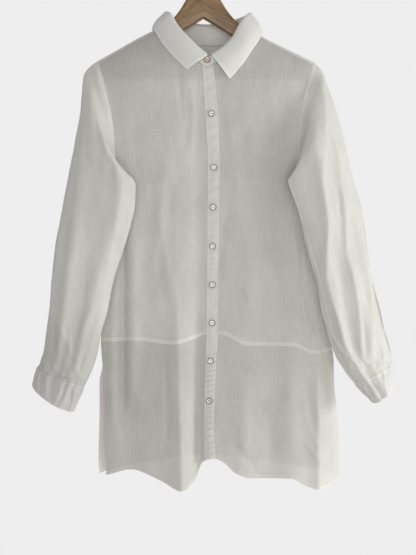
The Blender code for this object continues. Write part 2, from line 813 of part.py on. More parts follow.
def leaf_turns():
    return [LEAF_END_TURN * j / LEAF_STEPS for j in range(LEAF_STEPS + 1)]


def stand_sheet():
    columns = []
    lapped = (mix(LEAF_END_TURN, STAND_UNDER_TURN, 0.5), STAND_UNDER_TURN)
    over = [STAND_OVER_TURN * share for share in STAND_OVER_SHARES]
    for turn in (*over, *leaf_turns(), *lapped):
        base, top = stand_line(turn)
        height = 1 - END_ROUND * ease(turn / STAND_OVER_TURN) ** 3
        columns.append([mix(base, top, share * height) for share in (1, 0.5, 0)])
    return Sheet("collar_stand", "stand", np.array(columns).transpose(1, 0, 2), 1, thick=DOUBLED)


def body_point(x, drop, turn):
    return on_front(x, drop) if math.cos(math.radians(turn)) > 0 else on_back(x, drop)


def body_normal(x, drop, turn):
    across = body_point(x + 1, drop, turn) - body_point(x - 1, drop, turn)
    down = body_point(x, drop + 1, turn) - body_point(x, drop - 0.5, turn)
    normal = unit(np.cross(across, down))
    return normal if normal[2] > -0.2 and normal @ outward(turn) > -0.3 else -normal


def outward(turn):
    angle = math.radians(turn)
    return np.array((-math.sin(angle), -math.cos(angle), 0))


def leaf_column(turn):
    """The leaf from the stand's top over its roll to its outer edge."""
    _, top = stand_line(turn)
    out = outward(turn)
    crest = top + out * ROLL_OUT + (0, 0, ROLL_RISE)
    fall = top + out * FALL_OUT + (0, 0, ROLL_RISE - FALL_DROP)
    edge_x, edge_drop = COLLAR.at("edge_x", turn), COLLAR.at("edge_drop", turn)
    edge = body_point(edge_x, edge_drop, turn) + body_normal(edge_x, edge_drop, turn) * LEAF_CLEAR
    column = [top + (0, 0, LEAF_LIFT), crest, fall]
    for share in (0.35, 0.7, 1):
        bulge = out * LEAF_BULGE * math.sin(math.pi * share)
        column.append(mix(fall, edge, share) + bulge)
    return column


def leaf_sheet():
    grid = np.array([leaf_column(turn) for turn in leaf_turns()]).transpose(1, 0, 2)
    return Sheet("collar_leaf", "leaf", grid, 1, thick=DOUBLED)


# Making objects
def material_of(name, look):
    material = bpy.data.materials.new(name)
    material.use_nodes = True
    shader = material.node_tree.nodes["Principled BSDF"]
    colour, roughness, metallic = look
    shader.inputs["Base Color"].default_value = (*colour, 1)
    shader.inputs["Roughness"].default_value = roughness
    shader.inputs["Metallic"].default_value = metallic
    return material


def make_object(name, points, faces, look, shift=0.0):
    mesh = bpy.data.meshes.new(name)
    mesh.from_pydata([((p[0] + shift) * MM, p[1] * MM, p[2] * MM) for p in points], [], faces)
    form = bmesh.new()
    form.from_mesh(mesh)
    bmesh.ops.recalc_face_normals(form, faces=form.faces)
    form.to_mesh(mesh)
    form.free()
    mesh.shade_smooth()
    mesh.set_sharp_from_angle(angle=math.radians(40))
    mesh.materials.append(material_of(name, look))
    made = bpy.data.objects.new(name, mesh)
    bpy.context.scene.collection.objects.link(made)
    return made


def tube(rings):
    """A closed body through rings with the same number of points, capped at both ends."""
    count = len(rings[0])
    points = [position for ring in rings for position in ring]
    faces = []
    for i in range(len(rings) - 1):
        for j in range(count):
            k = (j + 1) % count
            faces.append((i * count + j, i * count + k, (i + 1) * count + k, (i + 1) * count + j))
    faces.append(tuple(reversed(range(count))))
    faces.append(tuple((len(rings) - 1) * count + j for j in range(count)))
    return points, faces


# Buttons: a dished disc with a rim, turned round its own axis
BUTTON_PROFILE = Table(
    "place radius height",
    (0, 0.8, 0), (1, 1, 0.3), (2, 1, 0.7), (3, 0.85, 1), (4, 0.66, 0.72), (5, 0.3, 0.55),
)


def button(name, centre, normal):
    """A button whose back lies on centre and whose face looks along normal."""
    normal = unit(normal)
    across = unit(np.cross(normal, (0, 0, 1)))
    up = np.cross(across, normal)
    rings = []
    for place_in_profile in BUTTON_PROFILE.keys:
        radius = BUTTON_RADIUS * BUTTON_PROFILE.at("radius", place_in_profile)
        height = BUTTON_THICK * BUTTON_PROFILE.at("height", place_in_profile)
        ring = []
        for j in range(ROUND_SIDES):
            angle = 2 * math.pi * j / ROUND_SIDES
            turned = across * math.cos(angle) + up * math.sin(angle)
            ring.append(centre + normal * height + turned * radius)
        rings.append(ring)
    make_object(name, *tube(rings), SHELL, SHIRT_SHIFT)


def front_buttons():
    base, top = stand_line(neck_turn(TOP_BUTTON_X))
    share = (TOP_BUTTON_DROP + base[2]) / (base[2] - top[2])
    seat = mix(base, top, share)
    button("button_1", seat - (0, DOUBLED / 2 + TOP_BUTTON_CLEAR, 0), np.array((0, -1, 0)))
    for i, drop in enumerate(BUTTON_DROPS, 2):
        x = (BAND.at("right_edge", drop) + BAND.at("left_edge", drop)) / 2
        seat = on_front(x, drop)
        normal = body_normal(x, drop, 0)
        button(f"button_{i}", seat + normal * (DOUBLED / 2 + FRONT_BUTTON_CLEAR), normal)


def cuff_buttons(sleeves):
    """One button on the back of each cuff."""
    for hand, side, (_, cuff) in sleeves:
        ring = CUFF_BUTTON_RING
        a, b = cuff.grid[1, ring], cuff.grid[1, ring + 1]
        c, d = cuff.grid[2, ring + 1], cuff.grid[2, ring]
        normal = unit(np.cross(c - a, d - b)) * side
        middle = (a + b + c + d) / 4
        button(f"cuff_button_{hand}", middle + normal * (DOUBLED / 2 + CUFF_BUTTON_CLEAR), normal)


# Hanger
def bar_top_drop(x):
    """The bar follows its own hump inside the neck, and lies just under the cloth beyond it."""
    own = BAR_TOP.at("drop", abs(x))
    if abs(x) < HUMP_REACH:
        return own
    return max(own, RIDGE.at("drop", x - SHIRT_SHIFT) + BAR_BELOW_RIDGE)


def hanger_bar():
    rings = []
    for i in range(BAR_STEPS + 1):
        spread = 2 * i / BAR_STEPS - 1
        x = BAR_REACH * math.copysign(abs(spread) ** BAR_RING_SPREAD, spread)
        top, bottom = bar_top_drop(x), BAR_FORM.at("bottom", abs(x))
        half_thick = BAR_FORM.at("half_thick", abs(x))
        middle, half_high = (top + bottom) / 2, (bottom - top) / 2
        ring = []
        for j in range(BAR_SIDES):
            angle = 2 * math.pi * (j + 0.5) / BAR_SIDES
            across = math.cos(angle)
            up = math.sin(angle) / math.cos(math.pi / BAR_SIDES)
            y = half_thick * math.copysign(abs(across) ** BAR_SQUARENESS, across)
            rise = half_high * math.copysign(abs(up) ** BAR_SQUARENESS, up)
            ring.append(point(x, y, middle - rise))
        rings.append(ring)
    make_object("hanger_bar", *tube(rings), WOOD)


def hook_path():
    """The wire's middle line: a shank, a bend to the side, then round over the rail."""
    centre_drop = HOOK_RADIUS - HOOK_WIRE / 2
    path = [(0, bar_top_drop(0) - SEAM_GAP), *HOOK_SHANK]
    for degrees in range(HOOK_FIRST_TURN, HOOK_LAST_TURN + 1, HOOK_TURN_STEP):
        angle = math.radians(degrees)
        path.append((HOOK_RADIUS * math.cos(angle), centre_drop - HOOK_RADIUS * math.sin(angle)))
    return path


def hanger_hook():
    path = np.array(hook_path())
    rings = []
    for i, (x, drop) in enumerate(path):
        ahead, behind = path[min(i + 1, len(path) - 1)], path[max(i - 1, 0)]
        run_x, run_drop = unit(ahead - behind)
        ring = []
        for j in range(HOOK_SIDES):
            angle = 2 * math.pi * j / HOOK_SIDES
            side, depth = HOOK_WIRE / 2 * math.cos(angle), HOOK_WIRE / 2 * math.sin(angle)
            ring.append(point(x - run_drop * side, depth, drop + run_x * side))
        rings.append(ring)
    make_object("hanger_hook", *tube(rings), STEEL)


def build():
    for old in list(bpy.data.objects):
        bpy.data.objects.remove(old, do_unlink=True)
    yoke = yoke_grid()
    right, left = front_sheets(-1, yoke), front_sheets(1, yoke)
    back = back_sheets(yoke, (right, left))
    bands = band_sheets(right)
    sleeves = []
    for hand, side, front in (("right", -1, right), ("left", 1, left)):
        ring = armhole_ring(side, yoke, front[0], back[0])
        sleeves.append((hand, side, sleeve_sheets(side, ring)))
    sheets = [yoke_sheet(yoke), *right, *left, *back, *bands]
    for _, _, pair in sleeves:
        sheets += pair
    sheets += [stand_sheet(), leaf_sheet()]
    shared = shared_normals(sheets)
    for sheet in sheets:
        make_object(sheet.name, *wall(sheet, shared), LINEN, SHIRT_SHIFT)
    front_buttons()
    cuff_buttons(sleeves)
    hanger_bar()
    hanger_hook()


build()
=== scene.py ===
import math

import bpy
import numpy as np
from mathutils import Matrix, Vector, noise


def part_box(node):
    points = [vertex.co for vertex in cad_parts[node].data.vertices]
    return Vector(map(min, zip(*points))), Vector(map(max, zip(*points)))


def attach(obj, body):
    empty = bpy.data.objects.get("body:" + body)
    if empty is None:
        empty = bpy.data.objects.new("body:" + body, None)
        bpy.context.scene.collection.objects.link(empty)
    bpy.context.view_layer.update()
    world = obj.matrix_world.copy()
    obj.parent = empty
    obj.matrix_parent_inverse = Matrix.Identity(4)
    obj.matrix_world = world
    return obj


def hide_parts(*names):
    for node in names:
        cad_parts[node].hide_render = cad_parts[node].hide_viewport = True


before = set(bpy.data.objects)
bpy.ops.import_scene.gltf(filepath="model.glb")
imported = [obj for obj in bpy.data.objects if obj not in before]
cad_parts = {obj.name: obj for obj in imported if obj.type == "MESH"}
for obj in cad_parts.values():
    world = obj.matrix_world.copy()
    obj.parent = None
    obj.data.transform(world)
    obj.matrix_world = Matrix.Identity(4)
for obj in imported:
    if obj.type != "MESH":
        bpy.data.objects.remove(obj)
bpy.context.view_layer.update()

# Camera and room: the camera is level with the middle of the shirt, two metres in front of it. Behind
# the shirt is an even pale grey that takes no shadow. Window light comes in from the right.
CAMERA_PLACE = (0.0087, -2.0, -0.6034)
CAMERA_LENS = 70.12
CAMERA_SENSOR = 36
BACKDROP_GREY = 0.855
ROOM_SHADE = 0.34
ROOM_BRIGHT = 0.42


def set_inputs(tree, node, inputs):
    for name, value in inputs.items():
        if isinstance(value, bpy.types.NodeSocket):
            tree.links.new(value, node.inputs[name])
        else:
            node.inputs[name].default_value = value


def add_node(tree, kind, inputs=None, **settings):
    made = tree.nodes.new(kind)
    for name, value in settings.items():
        setattr(made, name, value)
    set_inputs(tree, made, inputs or {})
    return made


def ranged(tree, value, low, high, to_low, to_high):
    return add_node(tree, "ShaderNodeMapRange", {"Value": value, "From Min": low, "From Max": high,
                                                 "To Min": to_low, "To Max": to_high}).outputs["Result"]


def split(tree, vector):
    return add_node(tree, "ShaderNodeSeparateXYZ", {"Vector": vector}).outputs


def add_light(name, place, target, size, power, colour=(1, 1, 1)):
    lamp = bpy.data.lights.new(name, "AREA")
    lamp.shape = "DISK"
    lamp.size = size
    lamp.energy = power
    lamp.color = colour
    made = bpy.data.objects.new(name, lamp)
    made.location = place
    aim = made.location.copy()
    aim.x, aim.y, aim.z = (t - p for t, p in zip(target, place))
    made.rotation_euler = aim.to_track_quat("-Z", "Y").to_euler()
    bpy.context.scene.collection.objects.link(made)


camera = bpy.data.objects.new("camera", bpy.data.cameras.new("camera"))
camera.location = CAMERA_PLACE
camera.rotation_euler = (math.pi / 2, 0, 0)
camera.data.lens = CAMERA_LENS
camera.data.sensor_width = CAMERA_SENSOR
bpy.context.scene.collection.objects.link(camera)
bpy.context.scene.camera = camera
bpy.context.scene.view_settings.view_transform = "Standard"

world = bpy.data.worlds.new("room")
world.use_nodes = True
room = world.node_tree
outlook = add_node(room, "ShaderNodeTexCoord")
sides = split(room, outlook.outputs["Generated"])
from_right = ranged(room, sides["X"], -0.8, 0.8, ROOM_SHADE, ROOM_BRIGHT)
behind = ranged(room, sides["Y"], 0.0, 0.45, 0.0, 1.0)
room_light = add_node(room, "ShaderNodeMix", {0: behind, 2: from_right, 3: BACKDROP_GREY})
set_inputs(room, room.nodes["Background"], {"Color": room_light.outputs[0]})
bpy.context.scene.world = world

add_light("window", (2.2, -0.45, -0.5), (0.02, 0, -0.6), 0.9, 26.0, (1, 0.995, 0.985))
add_light("room bounce", (0.1, -2.6, -0.7), (0, 0, -0.6), 2.0, 33.0, (1, 0.995, 0.985))
add_light("floor bounce", (1.5, -0.8, -1.7), (0.1, 0, -0.8), 1.2, 8.0, (1, 0.995, 0.98))

# Hanger hook: bright steel wire, 3.8 mm thick, bent cold, its end pushed down into the bar. The wire
# was drawn through a die, which left fine scratches that run up its shank.


def make_material(name):
    material = bpy.data.materials.new(name)
    material.use_nodes = True
    tree = material.node_tree
    return material, tree, tree.nodes["Principled BSDF"]


def noise_on(tree, vector, scale=1.0, detail=2.0, distortion=0.0):
    return add_node(tree, "ShaderNodeTexNoise", {"Vector": vector, "Scale": scale, "Detail": detail,
                                                 "Distortion": distortion}).outputs["Fac"]


wire, tree, shader = make_material("hook wire")
place = add_node(tree, "ShaderNodeTexCoord").outputs["Object"]
drawn = add_node(tree, "ShaderNodeMapping", {"Vector": place, "Scale": (900.0, 900.0, 120.0)})
scratches = noise_on(tree, drawn.outputs["Vector"], detail=3.0)
set_inputs(tree, shader, {"Roughness": ranged(tree, scratches, 0.0, 1.0, 0.18, 0.42),
                          "Base Color": (0.55, 0.55, 0.54, 1), "Metallic": 1.0})
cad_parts["hanger_hook"].data.materials[0] = wire

# Hanger bar: two arms of stained beech, sawn to a hump, mitred and glued at the middle, then
# lacquered. The left arm's face turns to the light and the right arm's away from it.
MM = 0.001
BAR_REACH = 187
HUMP_REACH = 75
BAR_BELOW_RIDGE = 2.6
BAR_SIDES = 28
BAR_SQUARENESS = 0.42
BAR_STEPS = 120
BAR_ENDS_CLOSER = 1.15
MITRE_TURN = 2.6
MITRE_WIDTH = 26
ARM_SLOPE = 0.55
OTHER_BOARD = 900
SHIRT_SHIFT = 5


def mix(start, end, share):
    return start + (end - start) * share


def ease(share):
    share = np.clip(share, 0, 1)
    return share * share * (3 - 2 * share)


def unit(vectors):
    return vectors / np.maximum(np.linalg.norm(vectors, axis=-1, keepdims=True), 1e-9)


class Table:
    """Sizes in rows under named columns, read as smooth curves along the first column."""

    def __init__(self, columns, *rows):
        values = np.array(rows, float)
        self.keys = values[:, 0]
        self.columns = {name: values[:, i] for i, name in enumerate(columns.split())}

    def rows(self):
        return zip(*self.columns.values())

    def at(self, name, key):
        values = self.columns[name]
        steps = np.diff(values) / np.diff(self.keys)
        before, after = steps[:-1], steps[1:]
        total = before + after
        inside = np.where(before * after > 0, 2 * before * after / np.where(total == 0, 1, total), 0)
        slopes = np.concatenate([steps[:1], inside, steps[-1:]])
        key = np.asarray(key, float)
        i = np.clip(np.searchsorted(self.keys, key) - 1, 0, len(self.keys) - 2)
        span = self.keys[i + 1] - self.keys[i]
        t = np.clip((key - self.keys[i]) / span, 0, 1)
        start = (1 + 2 * t) * (1 - t) ** 2 * values[i] + t * (1 - t) ** 2 * span * slopes[i]
        end = t * t * (3 - 2 * t) * values[i + 1] + t * t * (t - 1) * span * slopes[i + 1]
        return start + end


# Top of the cloth along the shoulders, which the bar's arms carry
RIDGE = Table(
    "x drop",
    (-200, 203.5), (-100, 148.5), (-80, 140), (0, 106), (84, 148), (100, 156.5), (200, 206.4),
)
BAR_TOP = Table(
    "reach drop",
    (0, 60), (12, 65), (22, 76), (31.5, 90), (41.5, 106.7), (53, 121.8), (66, 135), (75, 144), (84, 151),
    (95, 155), (190, 155),
)
BAR_FORM = Table(
    "reach bottom half_thick",
    (0, 124.8, 8), (20, 137, 7.5), (40, 149, 7.2), (55, 158.5, 7), (75, 171, 7), (100, 184, 7),
    (130, 199, 6.6), (160, 210, 5.6), (190, 219, 4.2),
)


def point(x, y, drop):
    x, y, drop = np.broadcast_arrays(x, y, drop)
    return np.stack([x, y, -drop], axis=-1).astype(float)


def mesh_object(name, points, faces, material, replaces=(), sharp=40):
    """An object from points in millimetres. It rides on the one body and takes the record's slot."""
    mesh = bpy.data.meshes.new(name)
    mesh.from_pydata((np.asarray(points) * MM).tolist(), [], faces)
    mesh.validate()
    mesh.shade_smooth()
    mesh.set_sharp_from_angle(angle=math.radians(sharp))
    mesh.materials.append(material)
    made = bpy.data.objects.new(name, mesh)
    bpy.context.scene.collection.objects.link(made)
    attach(made, "root")
    if replaces:
        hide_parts(*replaces)
    return made


def ring_faces(rings, count, capped=True):
    faces = []
    for i in range(rings - 1):
        a, b = i * count, (i + 1) * count
        for j in range(count):
            k = (j + 1) % count
            faces.append((a + j, a + k, b + k, b + j))
    if capped:
        faces.append(tuple(reversed(range(count))))
        faces.append(tuple((rings - 1) * count + j for j in range(count)))
    return faces


def add_vectors(made, name, values):
    """Stores a vector for each point, which the material reads by its name."""
    stored = made.data.attributes.new(name, "FLOAT_VECTOR", "POINT")
    stored.data.foreach_set("vector", np.asarray(values, np.float32).ravel())


def bar_top_drop(x):
    own = BAR_TOP.at("drop", abs(x))
    under_cloth = RIDGE.at("drop", x - SHIRT_SHIFT) + BAR_BELOW_RIDGE
    return np.where(abs(x) < HUMP_REACH, own, np.maximum(own, under_cloth))


def stored(tree, name):
    return add_node(tree, "ShaderNodeAttribute", attribute_name=name).outputs["Vector"]


def times(tree, one, other):
    return add_node(tree, "ShaderNodeVectorMath", {0: one, 1: other}, operation="MULTIPLY").outputs[0]


def colour_ramp(tree, value, *stops):
    """Colours at rising places between 0 and 1."""
    made = add_node(tree, "ShaderNodeValToRGB", {"Fac": value})
    ends = made.color_ramp.elements
    for stop, (place_on_ramp, colour) in zip((ends[0], ends[1]), (stops[0], stops[-1])):
        stop.position, stop.color = place_on_ramp, (*colour, 1)
    for place_on_ramp, colour in stops[1:-1]:
        ends.new(place_on_ramp).color = (*colour, 1)
    return made.outputs["Color"]


def raised(tree, height, strength, distance):
    return add_node(tree, "ShaderNodeBump", {"Height": height, "Strength": strength, "Distance": distance}
                    ).outputs["Normal"]


beech, tree, shader = make_material("stained beech")
grain = stored(tree, "grain")
figure = noise_on(tree, times(tree, grain, (0.014, 0.22, 0.3)), detail=5.0, distortion=0.7)
pores = noise_on(tree, times(tree, grain, (0.12, 2.2, 2.2)))
stain = colour_ramp(tree, figure, (0.32, (0.15, 0.078, 0.028)), (0.7, (0.34, 0.205, 0.082)))
set_inputs(tree, shader, {
    "Base Color": times(tree, stain, ranged(tree, pores, 0.35, 0.6, 0.70, 1.02)),
    "Normal": raised(tree, pores, 0.25, 0.0003),
    "Roughness": 0.42, "Coat Weight": 0.25, "Coat Roughness": 0.3,
})

spread = np.linspace(-1, 1, BAR_STEPS + 1)
bar_x = BAR_REACH * np.sign(spread) * abs(spread) ** BAR_ENDS_CLOSER
bar_top, bar_bottom = bar_top_drop(bar_x), BAR_FORM.at("bottom", abs(bar_x))
half_thick = BAR_FORM.at("half_thick", abs(bar_x))
angles = (np.arange(BAR_SIDES) + 0.5) / BAR_SIDES * 2 * math.pi
across, up = np.cos(angles), np.sin(angles) / math.cos(math.pi / BAR_SIDES / 2)
round_y = np.sign(across) * abs(across) ** BAR_SQUARENESS
round_up = np.sign(up) * np.minimum(abs(up), 1) ** BAR_SQUARENESS
bar_middle, bar_half = (bar_top + bar_bottom) / 2, (bar_bottom - bar_top) / 2
mitre = MITRE_TURN * np.exp(-abs(bar_x)[:, None] / MITRE_WIDTH) * (round_y[None] < 0)
bar_points = point(
    bar_x[:, None],
    half_thick[:, None] * round_y[None] - mitre,
    bar_middle[:, None] - bar_half[:, None] * round_up[None],
)
bar_faces = ring_faces(BAR_STEPS + 1, BAR_SIDES)
bar = mesh_object("wooden_bar", bar_points.reshape(-1, 3), bar_faces, beech, ["hanger_bar"], sharp=50)
arm_slope = np.where(bar_x < 0, -ARM_SLOPE, ARM_SLOPE)[:, None]
along_arm = bar_points[..., 0] - arm_slope * bar_points[..., 2] + OTHER_BOARD * (arm_slope > 0)
across_arm = bar_points[..., 2] + arm_slope * bar_points[..., 0]
add_vectors(bar, "grain", np.stack([along_arm, across_arm, bar_points[..., 1]], -1))

# Linen: washed, soft plain weave, bleached to a warm white and slightly sheer. Single cloth lets light
# and the shapes behind it through; doubled cloth, seams and hems hold more thread and look lighter.
CLOTH = 1.0
DOUBLED = 1.9
SEAM_WIDTH = 8.0
HEM_WIDTH = 8.5
NO_STRIP = -40.0
SEED_APART = 37.0


def linen_material(name, tint, see_through, glow, weave=0.6, mottle=1.0):
    """cloth is the place on the cut in millimetres. strip is the distance inside a doubled edge, the
    place along it, and 1 where a second layer lies close behind and keeps the light from coming through."""
    material, tree, shader = make_material(name)
    cut = stored(tree, "cloth")
    strip_parts = split(tree, stored(tree, "strip"))
    edge_in, edge_along, behind = (strip_parts[axis] for axis in "XYZ")

    def stretched(across, down, detail=2.0):
        return noise_on(tree, times(tree, cut, (across, down, 1.0)), detail=detail)

    def scaled(value, low, high, to_low, to_high):
        return ranged(tree, value, low, high, to_low, to_high)

    def combined(kind, one, other):
        return add_node(tree, "ShaderNodeMath", {0: one, 1: other}, operation=kind).outputs[0]

    def product(one, *others):
        for other in others:
            one = combined("MULTIPLY", one, other)
        return one

    threads = combined("ADD", product(stretched(0.8, 0.03), 0.68), product(stretched(0.03, 0.8), 0.32))
    doubled = scaled(edge_in, -0.6, 0.9, 0.0, 1.0)
    dash = scaled(combined("MODULO", edge_along, 2.6), 1.7, 1.9, 1.0, 0.0)
    on_row = product(scaled(edge_in, 0.7, 1.0, 0.0, 1.0), scaled(edge_in, 1.3, 1.6, 1.0, 0.0))
    stitch = product(on_row, dash)
    tone = product(
        scaled(threads, 0.34, 0.66, 1 - 0.16 * weave, 1 + 0.10 * weave),
        scaled(stretched(0.022, 0.014, 4.0), 0.3, 0.7, 1 - 0.045 * mottle, 1 + 0.035 * mottle),
        scaled(stretched(0.4, 0.035, 1.0), 0.66, 0.74, 1.0, 1 + 0.3 * weave),
        scaled(doubled, 0.0, 1.0, 1.0, 1.06),
        scaled(behind, 0.0, 1.0, 1.0, 0.85),
        scaled(stitch, 0.0, 1.0, 1.0, 1.06),
    )
    height = combined("ADD", product(threads, 0.4), product(stretched(1.9, 1.9, 3.0), 0.4))
    height = combined("ADD", height, product(doubled, 1.4))
    height = combined("SUBTRACT", height, product(on_row, 0.7))
    height = combined("ADD", height, product(stitch, 0.9))
    colour, normal = times(tree, tint, tone), raised(tree, height, 0.55, 0.0005)
    set_inputs(tree, shader, {"Base Color": colour, "Normal": normal, "Roughness": 0.92,
                              "Specular IOR Level": 0.15, "Sheen Weight": 0.12, "Sheen Roughness": 0.6})
    through = add_node(tree, "ShaderNodeBsdfTranslucent", {"Color": colour, "Normal": normal})
    lit = add_node(tree, "ShaderNodeMixShader", {"Fac": glow, 1: shader.outputs[0], 2: through.outputs[0]})
    open_share = product(scaled(threads, 0.36, 0.64, 1.2 * see_through, 0.8 * see_through),
                         scaled(doubled, 0.0, 1.0, 1.0, 0.35))
    gaps = add_node(tree, "ShaderNodeBsdfTransparent")
    cloth = add_node(tree, "ShaderNodeMixShader", {"Fac": open_share, 1: lit.outputs[0], 2: gaps.outputs[0]})
    set_inputs(tree, tree.nodes["Material Output"], {"Surface": cloth.outputs[0]})
    return material


single_linen = linen_material("single linen", (0.74, 0.73, 0.685), 0.26, 0.24, 0.12)
yoke_linen = linen_material("yoke linen", (0.70, 0.69, 0.645), 0.02, 0.08, 0.15)
doubled_linen = linen_material("doubled linen", (0.735, 0.73, 0.70), 0.03, 0.22, 0.12, 0.7)


def run_along(line, axis=0):
    """The distance from a line's first point to each of its points."""
    steps = np.linalg.norm(np.diff(line, axis=axis), axis=-1)
    return np.concatenate([np.take(steps, [0], axis) * 0, np.cumsum(steps, axis)], axis)


def cloth_sheet(name, grid, facing, material, replaces, strips, seed, thick=CLOTH,
                closed=False, straight=False, backed=None):
    """A closed shell on a grid of points. strips gives the width of the doubled cloth at each edge that
    has some, and backed how far layers behind it darken it. facing is 1 where a step along a row and a
    step to the next row turn outwards. straight lays the threads plumb instead of along the grid."""
    rows, columns = grid.shape[:2]
    grid = grid + (SHIRT_SHIFT, 0, 0)
    along = np.gradient(grid, axis=1)
    down = np.gradient(grid, axis=0)
    if closed:
        along[:, 0] = along[:, -1] = grid[:, 1] - grid[:, -2]
    normals = unit(np.cross(along, down)) * facing
    for _ in range(2):
        softened = normals.copy()
        softened[1:-1] += normals[:-2] + normals[2:]
        softened[:, 1:-1] += normals[:, :-2] + normals[:, 2:]
        normals = unit(softened)
    if closed:
        normals[:, 0] = normals[:, -1] = unit(normals[:, 0] + normals[:, -1])
    outer = grid + normals * thick / 2
    inner = grid - normals * thick / 2
    run_u, run_v = run_along(grid, 1), run_along(grid, 0)
    far = {"left": run_u, "right": run_u[:, -1:] - run_u, "top": run_v, "bottom": run_v[-1:] - run_v}
    behind = np.zeros((rows, columns)) if backed is None else backed(grid[..., 0], -grid[..., 2])
    strip = np.stack([np.full((rows, columns), NO_STRIP), run_v, behind], -1)
    for edge, width in strips.items():
        inside = width - far[edge]
        nearer = inside > strip[..., 0]
        run = run_v if edge in ("left", "right") else run_u
        strip[nearer] = np.stack([inside, run, behind], -1)[nearer]
    middle_u = run_u - run_u[:, -1:] / 2
    cloth = np.stack([middle_u, run_v, np.full((rows, columns), seed * SEED_APART)], -1)
    if straight:
        cloth[..., 0], cloth[..., 1] = grid[..., 0], -grid[..., 2]
    count = rows * columns
    ids = np.arange(count).reshape(rows, columns)
    a, b, c, d = ids[:-1, :-1], ids[:-1, 1:], ids[1:, 1:], ids[1:, :-1]
    front = np.stack([a, b, c, d], -1).reshape(-1, 4)
    if facing < 0:
        front = front[:, ::-1]
    faces = [tuple(quad) for quad in front.tolist()]
    faces += [tuple(count + corner for corner in reversed(quad)) for quad in front.tolist()]
    loop = [*ids[0], *ids[1:, -1], *ids[-1, -2::-1], *ids[-2:0:-1, 0]]
    for start, end in zip(loop, loop[1:] + loop[:1]):
        rim = (int(end), int(start), count + int(start), count + int(end))
        faces.append(rim if facing > 0 else tuple(reversed(rim)))
    points = np.concatenate([outer.reshape(-1, 3), inner.reshape(-1, 3)])
    made = mesh_object(name, points, faces, material, replaces, sharp=75)
    add_vectors(made, "cloth", np.concatenate([cloth.reshape(-1, 3)] * 2))
    add_vectors(made, "strip", np.concatenate([strip.reshape(-1, 3)] * 2))


# Yoke: one piece of linen that lies over the arms of the hanger, from the seam across the back to the
# forward shoulder seams. The whole shirt hangs from it, so it is the tightest cloth.
TIP_X = 200
TIP_DROP = 205
UNDERARM_X = 165
UNDERARM_DROP = 427
ARMHOLE_CURVE = 2.5
YOKE_FRONT = 6.5
YOKE_AHEAD_ROWS = 4
YOKE_BACK_DROP = 232
NECK_MIDDLE = 2
NECK_HALF = 82
NECK_FRONT_FALL = 80
NECK_BACK_FALL = 25
NECK_FRONT_BEND = 1.25
NECK_BACK_BEND = 2.2
SHOULDER_SEAM_TURN = 72
ROUND_AT_NECK = 130
ROUND_AT_TIP = 70
SIDE_ROUND = 0.7
FOLD_FADE = 3
FOLD_END = 60
CREASE_BOW = 0.06
CREASE_HOLLOW = 0.7
HANDS = (("right", -1), ("left", 1))

DEPTH = Table(
    "drop front back",
    (100, 46, 38), (330, 43, 36), (430, 40, 34), (600, 37, 32), (720, 38, 34), (860, 44, 38), (980, 48, 42),
)
SIDES = Table(
    "drop right_reach right_front right_back left_reach left_front left_back",
    (200, 228, 200, 200, 228, 200, 200),
    (275, 212, 180, 180, 212, 180, 180),
    (349, 192, 170, 170, 192, 170, 170),
    (427, 165, 165, 165, 165, 165, 165),
    (497, 168, 168, 168, 180, 180, 180),
    (571, 174, 174, 174, 195, 195, 195),
    (645, 184, 184, 184, 214, 214, 214),
    (719, 194, 194, 194, 230, 230, 230),
    (764, 191, 191, 191, 236, 236, 236),
    (795, 200, 185, 197, 240, 236, 231),
    (840, 201, 183, 197, 245, 240, 233),
    (935, 203, 183, 199, 251, 246, 238),
    (985, 203, 184, 195, 251, 245, 237),
)

# Folds that run down the cloth. Depth is how far the cloth stands out at the fold's end.
FOLDS = "top_x top_drop end_x end_drop until width depth crispness"
FRONT_FOLDS = Table(
    FOLDS,
    (-60, 430, -44, 960, 1100, 26, 17, 1.25),
    (-17, 600, -14, 950, 1100, 11, -15, 1.6),
    (-128, 560, -136, 950, 1100, 24, -7, 2),
    (207, 650, 205, 820, 1100, 22, 16, 1.15),
    (120, 640, 110, 960, 1100, 34, -6, 2),
    (-30, 230, -12, 420, 1100, 16, -4, 2),
    (-151, 430, -152, 600, 810, 8, -11, 1.6),
    (-133, 430, -134, 600, 800, 15, 7, 1.8),
    (-170, 560, -173, 700, 830, 10, 4, 2),
)
BACK_FOLDS = Table(
    FOLDS,
    (-70, 420, -84, 960, 1100, 30, -8, 2),
    (0, 300, 4, 960, 1100, 34, -6, 1.6),
    (84, 420, 104, 960, 1100, 32, -8, 2),
    (-184, 764, -184, 800, 1100, 7, 16, 2),
)

